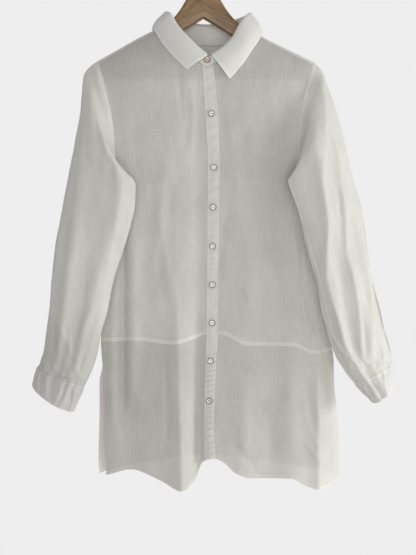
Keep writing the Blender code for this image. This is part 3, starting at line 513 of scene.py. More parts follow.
# Creases pressed in by wear and washing. Each is a soft ridge, or a trough where height is below zero.
CREASES = "start_x start_drop end_x end_drop width height"
FRONT_CREASES = Table(
    CREASES,
    (-40, 235, -22, 400, 9, 1.6),
    (-58, 220, -34, 330, 7, -1.1),
    (-84, 330, -92, 560, 16, 1.5),
    (-62, 380, -66, 700, 13, 1.8),
    (-118, 300, -132, 480, 12, -1.4),
    (-96, 470, -92, 640, 12, 1.2),
    (-74, 520, -80, 700, 9, -1.0),
    (-110, 560, -104, 700, 14, -1.2),
    (40, 260, 48, 470, 15, 1.2),
    (70, 300, 96, 520, 20, -1.6),
    (110, 240, 122, 420, 14, 1.3),
    (60, 470, 74, 700, 17, 1.5),
    (132, 430, 158, 650, 14, -1.7),
    (150, 470, 196, 720, 9, 1.9),
    (168, 520, 212, 715, 6, -1.3),
    (30, 420, 34, 640, 10, -1.0),
    (-84, 760, -70, 950, 8, -1.9),
    (-108, 740, -120, 900, 13, 1.4),
    (-90, 720, -64, 880, 5, -1.2),
    (-150, 780, -176, 905, 10, 1.5),
    (-172, 850, -140, 925, 7, -1.1),
    (52, 748, 128, 792, 6, 1.1),
    (66, 800, 60, 950, 15, 1.4),
    (102, 780, 118, 955, 20, -1.9),
    (150, 760, 168, 930, 17, 1.7),
    (182, 790, 226, 935, 8, -1.6),
    (205, 800, 238, 880, 6, 1.8),
    (176, 890, 232, 960, 7, 1.3),
    (36, 900, 110, 965, 9, -1.3),
    (-140, 690, -110, 760, 9, 1.1),
    (190, 690, 236, 756, 6, 1.3),
    (165, 440, 200, 760, 13, 5.0),
    (186, 500, 231, 756, 8, 5.0),
    (176, 500, 219, 752, 5, -3.6),
)
BACK_CREASES = Table(
    CREASES,
    (-110, 250, -122, 430, 13, 1.5),
    (-40, 240, -52, 470, 17, 1.9),
    (28, 245, 40, 440, 12, -1.5),
    (92, 250, 118, 500, 16, 1.7),
    (-140, 420, -150, 700, 11, -1.8),
    (-96, 500, -110, 720, 15, 1.5),
    (-20, 500, -16, 720, 18, -1.9),
    (50, 470, 66, 715, 13, 1.8),
    (128, 450, 166, 700, 12, -1.6),
    (150, 560, 200, 720, 8, 1.5),
    (-160, 760, -176, 930, 10, 1.4),
    (-120, 780, -96, 940, 13, -1.6),
    (-44, 750, -36, 920, 20, 1.9),
    (30, 770, 44, 940, 14, -1.5),
    (120, 760, 142, 930, 16, 1.8),
    (186, 790, 222, 930, 9, -1.6),
    (-70, 860, 40, 915, 8, 0.9),
    (150, 900, 214, 940, 7, 1.1),
)


def reach_at(x, drop):
    return np.where(x < 0, SIDES.at("right_reach", drop), SIDES.at("left_reach", drop))


def fullness(x, drop):
    """Share of the body's depth here: none on the shoulder ridge and at the sides, all in the middle."""
    across = np.minimum(abs(x) / reach_at(x, drop), 1)
    height = mix(ROUND_AT_NECK, ROUND_AT_TIP, np.minimum(abs(x) / TIP_X, 1) ** 2)
    down = np.clip((drop - RIDGE.at("drop", x)) / height, 0, 1)
    return (1 - across**2) ** SIDE_ROUND * np.sqrt(1 - (1 - down) ** 2)


def fold_depth(folds, x, drop):
    depth = 0
    for top_x, top_drop, end_x, end_drop, until, width, size, crisp in folds.rows():
        along = np.clip((drop - top_drop) / (end_drop - top_drop), 0, 1)
        aside = abs(x - mix(top_x, end_x, along)) / width
        rise = size * ease(along) * ease((until + FOLD_END - drop) / FOLD_END)
        depth = depth + rise * np.exp(-(aside**crisp))
    return depth


def soft_ridge(height, along, offset):
    """A crease rises and fades along its line, and has a shallow hollow on both sides of it."""
    return height * ease(3 * along) * ease(3 * (1 - along)) * (1 - CREASE_HOLLOW * offset) * np.exp(-offset)


def crease_depth(creases, x, drop):
    depth = 0
    for start_x, start_drop, end_x, end_drop, width, height in creases.rows():
        run_x, run_drop = end_x - start_x, end_drop - start_drop
        length = math.hypot(run_x, run_drop)
        along = ((x - start_x) * run_x + (drop - start_drop) * run_drop) / length**2
        bow = CREASE_BOW * length * np.sin(3 * along + start_x)
        aside = ((x - start_x) * run_drop - (drop - start_drop) * run_x) / length + bow
        depth = depth + soft_ridge(height, along, (aside / width) ** 2)
    return depth


def crumple(x, drop, seed, size=1.0):
    """Small uneven waves of washed linen, about a thumb's width apart."""
    shape = np.broadcast(x, drop).shape
    xs, drops = np.broadcast_to(x, shape).ravel(), np.broadcast_to(drop, shape).ravel()
    waves = [noise.noise((a / 26, b / 44, seed)) + 0.45 * noise.noise((a / 11, b / 15, seed + 9))
             for a, b in zip(xs.tolist(), drops.tolist())]
    return size * np.array(waves).reshape(shape)


def body_depth(part, folds, creases, seed, x, drop):
    full = fullness(x, drop)
    relief = fold_depth(folds, x, drop) + crease_depth(creases, x, drop) + crumple(x, drop, seed, 0.8)
    return DEPTH.at(part, drop) * full + relief * np.minimum(FOLD_FADE * full, 1)


def front_y(x, drop):
    return -body_depth("front", FRONT_FOLDS, FRONT_CREASES, 3, x, drop)


def on_front(x, drop):
    return point(x, front_y(x, drop), drop)


def on_back(x, drop):
    return point(x, body_depth("back", BACK_FOLDS, BACK_CREASES, 5, x, drop), drop)


def armhole_x(drop):
    share = np.clip((drop - TIP_DROP) / (UNDERARM_DROP - TIP_DROP), 0, 1)
    return UNDERARM_X + (TIP_X - UNDERARM_X) * (1 - share) ** ARMHOLE_CURVE


def neck_point(turn):
    """The neck seam, at turns in degrees from the front middle by the wearer's right."""
    turn = np.asarray(turn, float)
    across = -np.sin(np.radians(turn))
    x = NECK_MIDDLE + NECK_HALF * across
    right = RIDGE.at("drop", NECK_MIDDLE - NECK_HALF)
    left = RIDGE.at("drop", NECK_MIDDLE + NECK_HALF)
    side_drop = mix(right, left, (1 + across) / 2)
    ahead = np.cos(np.radians(turn)) > 0
    front = side_drop + NECK_FRONT_FALL * (1 - abs(across) ** NECK_FRONT_BEND)
    back = side_drop + NECK_BACK_FALL * (1 - abs(across) ** NECK_BACK_BEND)
    return np.where(ahead[..., None], on_front(x, front), on_back(x, back))


def even(line, count):
    """The line through these points, with count points evenly along it."""
    line = np.asarray(line, float)
    lengths = run_along(line)
    places = np.linspace(0, lengths[-1], count)
    return np.stack([np.interp(places, lengths, line[:, k]) for k in range(line.shape[1])], axis=-1)


def flat_places(points):
    return np.stack([points[..., 0], -points[..., 2]], axis=-1)


def yoke_column_places(side, share, rows):
    """One column of the yoke on a shoulder, from the forward seam over the ridge to the back edge."""
    x = side * mix(NECK_HALF, armhole_x(RIDGE.at("drop", side * (TIP_X - 1))), share)
    corner = neck_point(SHOULDER_SEAM_TURN if side < 0 else -SHOULDER_SEAM_TURN)[0]
    ahead = np.linspace(-YOKE_FRONT, 0, YOKE_AHEAD_ROWS + 1)[:-1]
    below = np.concatenate([ahead, np.linspace(0, 1, rows - YOKE_AHEAD_ROWS)])
    column = []
    for k, part in enumerate(below):
        here = x
        inner = mix(corner, NECK_MIDDLE + side * NECK_HALF, min(k / 3, 1))
        for _ in range(6):
            ridge = RIDGE.at("drop", here)
            under = -part if part < 0 else part * (YOKE_BACK_DROP - ridge)
            here = mix(inner, side * armhole_x(ridge + under), share)
        column.append((here, RIDGE.at("drop", here) + under, part))
    return column


def yoke_place(column):
    return [on_front(x, drop) if part < 0 else on_back(x, drop) for x, drop, part in column]


YOKE_ROWS = 30
shoulder_shares = np.linspace(1, 0, 34)
for hand, side in HANDS:
    columns = [yoke_place(yoke_column_places(side, share, YOKE_ROWS)) for share in shoulder_shares]
    shoulder = np.array(columns).transpose(1, 0, 2)
    if side < 0:
        right_shoulder = shoulder
    else:
        left_shoulder = shoulder[:, ::-1]
back_turns = np.linspace(90, 270, 56)[1:-1]
neck_columns = []
for turn in back_turns:
    top = neck_point(turn)
    drops = np.linspace(-top[2], YOKE_BACK_DROP, YOKE_ROWS - YOKE_AHEAD_ROWS)
    neck_columns.append(on_back(np.full(len(drops), top[0]), drops))
neck_part = np.array(neck_columns).transpose(1, 0, 2)
behind_ridge = slice(YOKE_AHEAD_ROWS, None)
yoke_back = np.concatenate([right_shoulder[behind_ridge], neck_part, left_shoulder[behind_ridge]], axis=1)
cloth_sheet("yoke_back", yoke_back, 1, yoke_linen, ["yoke"],
            strips={"bottom": SEAM_WIDTH, "left": 7, "right": 7}, seed=1, straight=True)
for hand, shoulder in (("right", right_shoulder), ("left", left_shoulder)):
    cloth_sheet(f"yoke_{hand}_shoulder", shoulder[: YOKE_AHEAD_ROWS + 1], 1, doubled_linen, [],
                strips={"top": 7}, seed=2)

# Fronts and skirts: a right and a left front of single linen. Each is cut again at the hip, where a
# skirt is joined on with a flat felled seam. The left front goes under the right one's band.
LAP = 2.35
LAP_AT_HEM = 3.8
LAP_FADE = 60
LAP_DEEPENS_FROM = 620
LAP_DEEPENS_OVER = 240
VENT_DROP = 764
BAND_START_DROP = 220
BAND_END_DROP = 931
HIP_BAND_DROP = 710
HIP_SIDE_DROP = 719
FRONT_HEM_SIDE_DROP = 975
SHEET_COLUMNS = 64
SHEET_ROWS = 150
# How far the layers behind each front darken it: the yoke, the back and the back skirt
YOKE_SHOWS_TO = 244
YOKE_SEAM_SHOWS = 3.5
YOKE_EDGE_SOFT = 5
LIT_SIDE_FROM = 140
LIT_SIDE_OVER = 50
YOKE_SHADE = {"right": 0.5, "left": 1.3}
BACK_SHADE = {"right": 0.0, "left": 0.7}
SKIRT_SHADE = {"right": 0.7, "left": 1.1}

BAND = Table(
    "drop right_edge left_edge",
    (220, -6.2, 14), (308, -0.6, 21.2), (404, 4.2, 25.2), (463, 3.2, 24), (590, 2.3, 22.2),
    (698, 1.4, 21.4), (753, -0.3, 18.7), (825, -2.1, 15.6), (876, -2.8, 14.4), (931, -1.2, 18),
)
FRONT_HIP = Table(
    "x drop",
    (-194, 722), (-125, 719), (-60, 725), (-18, 714), (0, 707), (27, 707), (75, 727), (162, 729.5),
    (198, 744), (229, 739),
)
BACK_HIP = Table("x drop", (-194, 722), (0, 728), (229, 739))
FRONT_HEM = Table(
    "x drop",
    (-184, 966), (-134, 954), (-81, 971), (-45, 987), (-20, 970), (-6, 938), (12, 931), (30, 937),
    (54, 958), (80, 967), (156, 969.5), (180, 982), (210, 989.5), (246, 977),
)
BACK_HEM = Table("x drop", (-196, 966), (-120, 950), (0, 937), (120, 948), (237, 968))


def lap_at(drop):
    return mix(LAP, LAP_AT_HEM, ease((drop - LAP_DEEPENS_FROM) / LAP_DEEPENS_OVER))


def on_left_front(x, drop):
    tuck = lap_at(drop) * (1 - ease((x - BAND.at("left_edge", drop)) / LAP_FADE))
    return point(x, front_y(x, drop) + tuck, drop)


def side_edge(side, drop, part):
    return side * SIDES.at(("right_" if side < 0 else "left_") + part, drop)


def side_line(side, drops, part):
    return np.stack([side_edge(side, drops, part), drops], -1)


def armhole_line(side, start, count):
    drops = np.linspace(start, UNDERARM_DROP, count)
    return np.stack([side * armhole_x(drops), drops], -1)


def skirt_side(side, top, hem_drop, part, count):
    """The side edge of a skirt, with closer points along its vent."""
    drops = np.concatenate([np.linspace(top[1], VENT_DROP, 14)[:-1], np.linspace(VENT_DROP, hem_drop, count)])
    line = side_line(side, drops, part)
    line[0] = top
    return line


def patch(top, bottom, inner, outer):
    """A grid of places between four lines. Top and bottom run from inner to outer."""

    def shares(one, other):
        total = 0
        for line in (one, other):
            total = total + run_along(line) / run_along(line)[-1] / 2
        return total

    across = shares(top, bottom)[None, :, None]
    down = shares(inner, outer)[:, None, None]
    grid = (1 - down) * top[None] + down * bottom[None]
    grid = grid + (1 - across) * inner[:, None] + across * outer[:, None]
    grid = grid - (1 - across) * ((1 - down) * top[0] + down * bottom[0])
    return grid - across * ((1 - down) * top[-1] + down * bottom[-1])


def laid_on(surface, grid):
    return surface(grid[..., 0], grid[..., 1])


def front_lines(side, shoulder):
    """The places of one front above the hip and of its skirt, and the front's armhole and side edge."""

    def band_x(drop):
        return BAND.at("right_edge", drop) if side < 0 else BAND.at("left_edge", drop) - 1

    def band_line(start, end, count):
        drops = np.linspace(start, end, count)
        return np.stack([band_x(drops), drops], -1)

    edge_turn = np.degrees(np.arcsin((NECK_MIDDLE - band_x(BAND_START_DROP)) / NECK_HALF))
    neck = flat_places(neck_point(np.linspace(edge_turn, -side * SHOULDER_SEAM_TURN, 60)))
    seam = flat_places(shoulder[0] if side > 0 else shoulder[0, ::-1])
    top = even(np.concatenate([neck, seam[1:]]), SHEET_COLUMNS)
    hip_drop = FRONT_HIP.at("drop", side_edge(side, HIP_SIDE_DROP, "front"))
    below_arm = side_line(side, np.linspace(UNDERARM_DROP, hip_drop, 90)[1:], "front")
    outer = even(np.concatenate([armhole_line(side, top[-1, 1], 80), below_arm]), SHEET_ROWS)
    inner_x = band_x(FRONT_HIP.at("drop", band_x(HIP_BAND_DROP)))
    inner_drop = FRONT_HIP.at("drop", inner_x)
    inner = band_line(top[0, 1], inner_drop, SHEET_ROWS)
    inner[0] = top[0]
    spans = run_along(top)
    xs = mix(inner_x, outer[-1, 0], spans / spans[-1])
    bottom = np.stack([xs, FRONT_HIP.at("drop", xs)], -1)
    inner[-1], outer[-1] = bottom[0], bottom[-1]

    hem_drop = FRONT_HEM.at("drop", side_edge(side, FRONT_HEM_SIDE_DROP, "front"))
    hem_inner_x = band_x(BAND_END_DROP)
    skirt_outer = skirt_side(side, bottom[-1], hem_drop, "front", 66)
    skirt_inner = band_line(inner_drop, FRONT_HEM.at("drop", hem_inner_x), len(skirt_outer))
    hem_xs = mix(hem_inner_x, skirt_outer[-1, 0], (bottom[:, 0] - inner_x) / (bottom[-1, 0] - inner_x))
    hem = np.stack([hem_xs, FRONT_HEM.at("drop", hem_xs)], -1)
    skirt_inner[0], skirt_inner[-1], hem[-1] = bottom[0], hem[0], skirt_outer[-1]
    return patch(top, bottom, inner, outer), patch(bottom, hem, skirt_inner, skirt_outer), outer


def yoke_behind(drop):
    """Where the yoke's two layers lie behind the front, and more along its seam, as the camera sees it."""
    seam = np.exp(-(((drop - YOKE_SHOWS_TO) / YOKE_SEAM_SHOWS) ** 2))
    return ease((YOKE_SHOWS_TO - drop) / YOKE_EDGE_SOFT) + 0.4 * seam


def off_side(x):
    """1 over the middle of a front, 0 near the left side, where the light comes through from the window."""
    return 1 - ease((x - LIT_SIDE_FROM) / LIT_SIDE_OVER)


front_edges = {}
for hand, side, shoulder, surface in (
    ("right", -1, right_shoulder, on_front), ("left", 1, left_shoulder, on_left_front),
):
    upper, skirt, front_edges[hand] = front_lines(side, shoulder)
    cloth_sheet(f"front_{hand}", laid_on(surface, upper), -side, single_linen, [f"front_{hand}_upper"],
                strips={"bottom": SEAM_WIDTH}, seed=3 + side, straight=True,
                backed=lambda x, drop: np.maximum(
                    yoke_behind(drop) * YOKE_SHADE[hand], BACK_SHADE[hand] * off_side(x)))
    cloth_sheet(f"front_{hand}_skirt", laid_on(surface, skirt), -side, single_linen, [f"front_{hand}_lower"],
                strips={"bottom": HEM_WIDTH}, seed=6 + side, straight=True,
                backed=lambda x, drop: SKIRT_SHADE[hand] * off_side(x))

# Back: one piece of single linen from the yoke's seam to the hip, and a skirt below it. It falls a
# little shorter than the fronts, and the side seams stop at the vents.
BACK_HEM_SIDE_DROP = 960
back_lines = []
for (hand, side), tip in zip(HANDS, (right_shoulder[-1, 0], left_shoulder[-1, -1])):
    outer = front_edges[hand]
    below = outer[outer[:, 1] > UNDERARM_DROP + 2]
    line = even(np.concatenate([armhole_line(side, flat_places(tip)[1], 60), below]), 140)
    line[-1] = outer[-1]
    hem_drop = BACK_HEM.at("drop", side_edge(side, BACK_HEM_SIDE_DROP, "back"))
    back_lines.append((line, skirt_side(side, line[-1], hem_drop, "back", 60)))
(right_line, right_skirt), (left_line, left_skirt) = back_lines
back_top = even(flat_places(yoke_back[-1]), 120)
back_top[0], back_top[-1] = right_line[0], left_line[0]


def across_back(start, end, table):
    xs = mix(start[0], end[0], (back_top[:, 0] - back_top[0, 0]) / (back_top[-1, 0] - back_top[0, 0]))
    line = np.stack([xs, table.at("drop", xs)], -1)
    line[0], line[-1] = start, end
    return line


back_hip = across_back(right_line[-1], left_line[-1], BACK_HIP)
back_hem = across_back(right_skirt[-1], left_skirt[-1], BACK_HEM)
back_upper = patch(back_top, back_hip, right_line, left_line)
back_lower = patch(back_hip, back_hem, right_skirt, left_skirt)
cloth_sheet("back", laid_on(on_back, back_upper), 1, single_linen, ["back_upper"],
            strips={"bottom": SEAM_WIDTH}, seed=9, straight=True)
cloth_sheet("back_skirt", laid_on(on_back, back_lower), 1, single_linen, ["back_lower"],
            strips={"bottom": HEM_WIDTH, "left": 6, "right": 6}, seed=10, straight=True)

# Bands: doubled strips down the fronts. The buttonhole band lies on top and is stitched along both
# edges, which pulls it into short ripples, most of all below the hip.
PUCKERS = Table(
    "drop depth pitch",
    (220, 0.5, 19), (400, 0.6, 21), (650, 0.8, 17), (740, 2.3, 13), (940, 2.7, 12),
)

BAND_START_REACH = 6.2
UNDER_BAND_INSET = 1.4
BAND_LIFT = 0.25


def pucker(x_share, drop):
    """Ripples across the band, each a little different from the next."""
    drop = np.asarray(drop, float)
    pitch = PUCKERS.at("pitch", drop)
    sway = 1.9 * np.sin(drop / 31.0) + 1.3 * np.sin(drop / 13.7 + 1) + 2.8 * x_share
    wave = np.sin(2 * math.pi * drop / pitch + sway) * (0.65 + 0.35 * np.sin(drop / 17))
    return PUCKERS.at("depth", drop) * np.maximum(wave, -0.3)


def band_grid(under):
    top = float(-neck_point(np.degrees(np.arcsin((NECK_MIDDLE + BAND_START_REACH) / NECK_HALF)))[2])
    drops = np.linspace(top, BAND_END_DROP, 340)
    right, left = BAND.at("right_edge", drops), BAND.at("left_edge", drops)
    inset = UNDER_BAND_INSET if under else 0
    shares = np.linspace(0, 1, 13)
    rows = []
    for share in shares:
        x = mix(right + inset, left - inset, share)
        low = FRONT_HEM.at("drop", x[-1])
        neck_turns = np.degrees(np.arcsin(np.clip((NECK_MIDDLE - x[0]) / NECK_HALF, -1, 1)))
        start = -neck_point(neck_turns)[2]
        fitted = mix(start, low, (drops - top) / (BAND_END_DROP - top))
        place = on_front(x, fitted)
        rise = pucker(share, fitted) * math.sin(math.pi * min(max(share, 0.12), 0.88)) ** 0.5
        rows.append(place + point(0, -rise + (lap_at(fitted) if under else -BAND_LIFT), 0))
    return np.array(rows).transpose(1, 0, 2)


cloth_sheet("buttonhole_band", band_grid(False), -1, doubled_linen, ["band_over"], thick=DOUBLED,
            strips={"left": 2.5, "right": 2.5, "bottom": 6}, seed=12)
cloth_sheet("button_band", band_grid(True), -1, doubled_linen, ["band_under"], thick=1.5,
            strips={"left": 2.5, "right": 2.5}, seed=13)

# Sleeves: each is one piece of single linen, closed by a seam underneath and set into the armhole. The
# cloth hangs straight down the back of the arm and falls into long soft folds along its front.
CUFF_STEP = 16
CUFF_END_STEP = 17
CAP_STEPS = 7
CRUMPLED_FROM = 12
SLEEVE_FOLD_WIDTH = 0.12
GATHERS_REACH = 0.7
RIDGE_LEAN = {"right": 1.0, "left": 0.32}
RIDGE_SINK = 0.3
RIDGE_CRISPNESS = 1.3
SLEEVE_SHADE = {"right": 0.9, "left": 0.0}
SLEEVE_SHADE_FROM = 640
SLEEVE_SHADE_OVER = 110
CUFF_SHADE_MORE = 1.3
SLEEVE_ROWS = 190
SLEEVE_COLUMNS_ROUND = 128
SLEEVE_COLUMNS = "step outer_x outer_drop outer_y inner_x inner_drop inner_y front back dip"
SLEEVES = {
    "right": Table(
        SLEEVE_COLUMNS,
        (0, -200, 205, 0, -165, 427, 0, 16, 14, 0),
        (1, -215, 216, 0, -167, 430, -15, 20, 18, -4),
        (2, -226, 234, -2, -163, 430, -27, 24, 20, -8),
        (3, -229, 266, -4, -156, 430, -36, 27, 22, -11),
        (4, -231, 297, -6, -147, 428, -42, 29, 24, -13),
        (5, -238, 338, -8, -138, 427, -46, 31, 26, -13),
        (6, -245, 377, -10, -131, 428, -47, 32, 27, -11),
        (7, -254, 423, -12, -127, 437, -48, 32, 28, -7),
        (8, -261, 465, -14, -129, 475, -48, 31, 28, -3),
        (9, -269, 504, -15, -137, 512, -47, 30, 27, 0),
        (10, -277, 551, -16, -149, 551, -44, 29, 26, 0),
        (11, -284, 622, -17, -171, 621, -39, 27, 25, 0),
        (12, -287, 664, -18, -180, 668, -36, 26, 24, 0),
        (13, -292, 700, -18, -190, 700, -34, 25, 23, 0),
        (14, -298, 742, -18, -198, 742, -32, 25, 22, 2),
        (15, -308, 767, -18, -211, 780, -31, 23, 20, 5),
        (16, -309, 768, -18, -221, 799, -30, 20, 17, 5),
        (17, -318, 800, -18, -240, 845, -30, 17, 15, 11),
    ),
    "left": Table(
        SLEEVE_COLUMNS,
        (0, 200, 206, 0, 165, 427, 0, 16, 14, 0),
        (1, 211, 218, 0, 167, 429, -15, 20, 18, -3),
        (2, 218, 232, -2, 163, 429, -27, 24, 20, -5),
        (3, 225, 253, -4, 158, 428, -36, 27, 22, -6),
        (4, 236, 284, -6, 153, 427, -43, 29, 24, -7),
        (5, 244, 312, -8, 149, 427, -46, 31, 26, -7),
        (6, 255, 354, -9, 148, 428, -49, 32, 27, -6),
        (7, 270, 422, -11, 150, 436, -50, 33, 28, -4),
        (8, 283, 465, -12, 161, 465, -49, 33, 28, -2),
        (9, 289, 500, -13, 172, 500, -47, 32, 27, 0),
        (10, 296, 550, -14, 183, 550, -44, 31, 26, 0),
        (11, 308, 619, -15, 203, 618, -39, 29, 25, 0),
        (12, 318, 656, -15, 208, 652, -37, 28, 24, 0),
        (13, 328, 700, -15, 219, 692, -35, 27, 24, 0),
        (14, 336, 727, -15, 227, 725, -34, 27, 23, 2),
        (15, 340, 745, -15, 239, 751, -33, 26, 22, 5),
        (16, 341, 761, -16, 270, 794, -33, 24, 22, 4),
        (17, 342, 798, -16, 303, 830, -32, 34, 32, 5),
    ),
}
SLEEVE_FOLDS = {
    "right": (
        Table("step share height", (1, 0.2, 3), (4, 0.55, 6), (8, 0.8, 5), (12, 0.72, 3), (16, 0.6, 3)),
        Table("step share height", (5, 0.2, 2), (10, 0.3, 5), (16, 0.25, 2)),
    ),
    "left": (
        Table("step share height", (1, 0.45, 2), (5, 0.5, 6), (9, 0.57, 7), (11, 0.75, 7), (16, 0.75, 5)),
        Table("step share height", (5, 0.1, 2), (8, 0.22, 5), (12, 0.3, 6), (15, 0.45, 4)),
    ),
}

# Creases of the sleeves, from one step and angle to another. The front is at angles from 0 to 180.
SLEEVE_CREASES = "start_step start_angle end_step end_angle width height"
SLEEVE_CREASE_ROWS = {
    "right": Table(
        SLEEVE_CREASES,
        (1.5, 50, 8, 78, 9, 1.7), (3, 95, 9, 118, 8, -1.5), (6, 60, 12, 66, 10, 1.6),
        (9, 88, 14, 98, 9, -1.6), (11, 122, 15.6, 112, 8, 1.5), (12, 40, 15.8, 74, 7, -1.5),
        (13.5, 92, 15.9, 88, 6, 1.9), (14.2, 60, 15.6, 120, 6, 1.5), (15, 130, 15.9, 84, 5, -1.6),
        (3, 230, 10, 250, 12, 1.8), (7, 285, 14, 270, 10, -1.7), (10, 215, 15.5, 236, 10, 1.6),
        (1, 300, 6, 312, 12, -1.4), (13, 300, 15.8, 262, 8, 1.5), (8, 20, 14, 30, 9, 1.2),
        (14.4, 32, 15.6, 54, 6, 1.6), (12.6, 60, 14.6, 120, 6, 1.2), (13.6, 40, 15.2, 90, 5, 1.3),
        (14.2, 110, 15.7, 150, 4, 1.4), (14.8, 70, 15.8, 100, 4, 1.4), (15.9, 60, 17.4, 84, 5, 1.5),
        (15.8, 112, 17.2, 94, 4, -1.5), (16, 126, 17.5, 150, 4, 1.4), (15.9, 36, 17.1, 48, 4, -1.3),
    ),
    "left": Table(
        SLEEVE_CREASES,
        (1.5, 40, 7, 58, 10, 1.6), (4, 92, 9, 108, 9, -1.6), (6, 74, 11, 90, 8, 1.7),
        (8, 52, 13, 60, 9, -1.9), (10, 112, 15, 122, 9, 1.5), (12, 74, 15.8, 84, 7, -1.8),
        (13, 98, 15.9, 104, 6, 1.7), (14.5, 40, 15.9, 58, 6, 1.6), (15, 66, 15.9, 72, 5, 1.8),
        (4, 226, 11, 244, 12, 1.9), (8, 290, 15, 276, 10, -1.6), (9, 208, 14, 222, 9, 1.5),
        (1, 310, 6, 320, 12, -1.5), (13, 306, 15.8, 268, 8, 1.6), (6, 22, 12, 32, 9, 1.4),
        (14.2, 130, 15.8, 112, 6, -1.5), (8.6, 168, 12, 142, 4, 1.7), (10, 172, 13.5, 148, 4, 1.6),
        (11.4, 170, 14.6, 140, 4, 1.7), (12.6, 166, 15.4, 130, 4, 1.6), (13.4, 150, 15.6, 104, 4, 1.8),
        (14.2, 100, 15.8, 78, 4, 1.7), (13.8, 40, 15.6, 62, 4, 1.6), (14.6, 118, 15.8, 142, 4, 1.5),
        (15.9, 62, 17.4, 80, 5, 1.6), (15.8, 116, 17.2, 98, 4, -1.5), (16, 132, 17.5, 148, 4, 1.5),
        (5, 60, 8, 50, 4, 1.3), (6.4, 86, 9.5, 78, 4, 1.3), (11, 36, 14, 44, 4, 1.4),
    ),
}


def ridge_line(*rows):
    return Table("drop x width height", *rows)


# Ridges of the sleeves' fronts. Each runs down the cloth through its rows.
SLEEVE_RIDGES = {
    "right": (
        ridge_line((222, -205, 4, 1), (250, -202, 5, 3.5), (292, -192.7, 5.5, 4.5), (318, -181.6, 6, 4.5),
                   (343, -170, 7, 4), (372, -160, 8, 1), (390, -156, 8, 0)),
        ridge_line((280, -221, 12, 0), (320, -223, 12, 2.5), (464, -236, 11, 3.5), (608, -252, 10, 3),
                   (716, -263, 8, 3.5), (762, -268, 7, 2)),
        ridge_line((400, -146, 10, 0), (446, -150, 11, 1.8), (572, -173, 12, 2.8), (680, -193, 11, 3),
                   (745, -214, 8, 3), (790, -232, 7, 1)),
        ridge_line((560, -215, 12, 0), (620, -219, 12, -2.5), (700, -232, 10, -3), (762, -244, 7, -2)),
        ridge_line((690, -247, 5, 0), (715, -246, 4, 3), (745, -246, 4, 3.5), (768, -250, 4, 1)),
    ),
    "left": (
        ridge_line((236, 214, 8, 0), (256, 216.2, 8, 5), (306, 218.3, 8, 8), (367, 216.2, 9, 10),
                   (430, 210.1, 10, 11), (511, 218.1, 9, 11), (593, 215.5, 9, 11), (642, 226.2, 9, 11),
                   (680, 238.8, 8, 11), (726, 251, 8, 10), (762, 270.5, 7, 7), (800, 292, 7, 0)),
        ridge_line((380, 236, 7, 0), (428, 242.4, 7, 7), (484, 251, 7, 9), (552, 253.7, 7, 9.5),
                   (607, 267.5, 7, 9), (662, 275.7, 7, 9), (730, 281.3, 7, 7), (760, 286, 6, 0)),
        ridge_line((330, 238, 6, 0), (400, 256, 6, 6), (450, 270, 6, 10), (497, 278, 6, 12),
                   (552, 288, 6, 13), (599, 297, 6, 13), (671, 304, 6, 12), (724, 302, 6, 9),
                   (758, 302, 6, 0)),
        ridge_line((600, 322, 5, 0), (660, 328, 5, 3), (720, 326, 5, 4), (752, 322, 5, 1)),
        ridge_line((700, 268, 5, 0), (722, 272, 4, -3), (742, 278, 4, -3), (756, 284, 4, 0)),
    ),
}


def ridge_depth(hand, x, drop):
    """How far the front of a sleeve stands out along its ridges. The left one's fall off to the window."""
    depth = 0
    for ridge in SLEEVE_RIDGES[hand]:
        offset = (x - ridge.at("x", drop)) / ridge.at("width", drop)
        offset = np.where(offset > 0, offset, offset * RIDGE_LEAN[hand])
        inside = (drop > ridge.keys[0]) & (drop < ridge.keys[-1])
        profile = np.exp(-abs(offset) ** RIDGE_CRISPNESS) - RIDGE_SINK
        depth = depth + ridge.at("height", drop) * profile * inside
    return depth


def sleeve_form(hand, step, angle):
    """The sleeve's smooth form: angle 0 is its outer edge, half a turn its inner edge, by the front."""
    table = SLEEVES[hand]
    outer = point(table.at("outer_x", step), table.at("outer_y", step), table.at("outer_drop", step))
    inner = point(table.at("inner_x", step), table.at("inner_y", step), table.at("inner_drop", step))
    share = (1 - np.cos(angle)) / 2
    lift = np.sin(angle)
    depth = np.where(lift > 0, table.at("front", step), table.at("back", step)) * lift
    for fold in SLEEVE_FOLDS[hand]:
        offset = (share - fold.at("share", step)) / SLEEVE_FOLD_WIDTH
        height = fold.at("height", step)
        rise = height * ease(step / 5) * np.exp(-(offset**2)) - height / 3
        depth = depth + np.where(lift > 0, rise * np.minimum(2 * np.maximum(lift, 0), 1) * ease(step / 5), 0)
    dip = table.at("dip", step) * lift
    return mix(outer, inner, share[..., None]) + point(0, -depth, dip)


def armhole_ring(angles):
    """How far down the armhole each angle of the sleeve meets it, and whether on the front."""
    share = (1 - np.cos(angles)) / 2
    drop = mix(TIP_DROP - 1, UNDERARM_DROP, share)
    return drop, np.sin(angles) > 0


def sleeve_creases(hand, step, angle, form):
    turn = np.degrees(angle) % 360
    depth = 0
    for start_step, start_angle, end_step, end_angle, width, height in SLEEVE_CREASE_ROWS[hand].rows():
        along = (step - start_step) / (end_step - start_step)
        middle = mix(start_angle, end_angle, along) + 5 * np.sin(4 * along + start_angle)
        offset = ((turn - middle) / (width * 1.25)) ** 2
        depth = depth + soft_ridge(height, along, offset)
    waves = crumple(form[..., 0] + (turn > 180) * 500, -form[..., 2], 7 if hand == "right" else 8, 0.9)
    near_cuff = ease((step - CRUMPLED_FROM) / (CUFF_STEP - CRUMPLED_FROM))
    waves = waves + near_cuff * crumple(2.6 * form[..., 0], -2.2 * form[..., 2], 4, 1.0)
    return (depth + waves) * ease(step / 1.5)


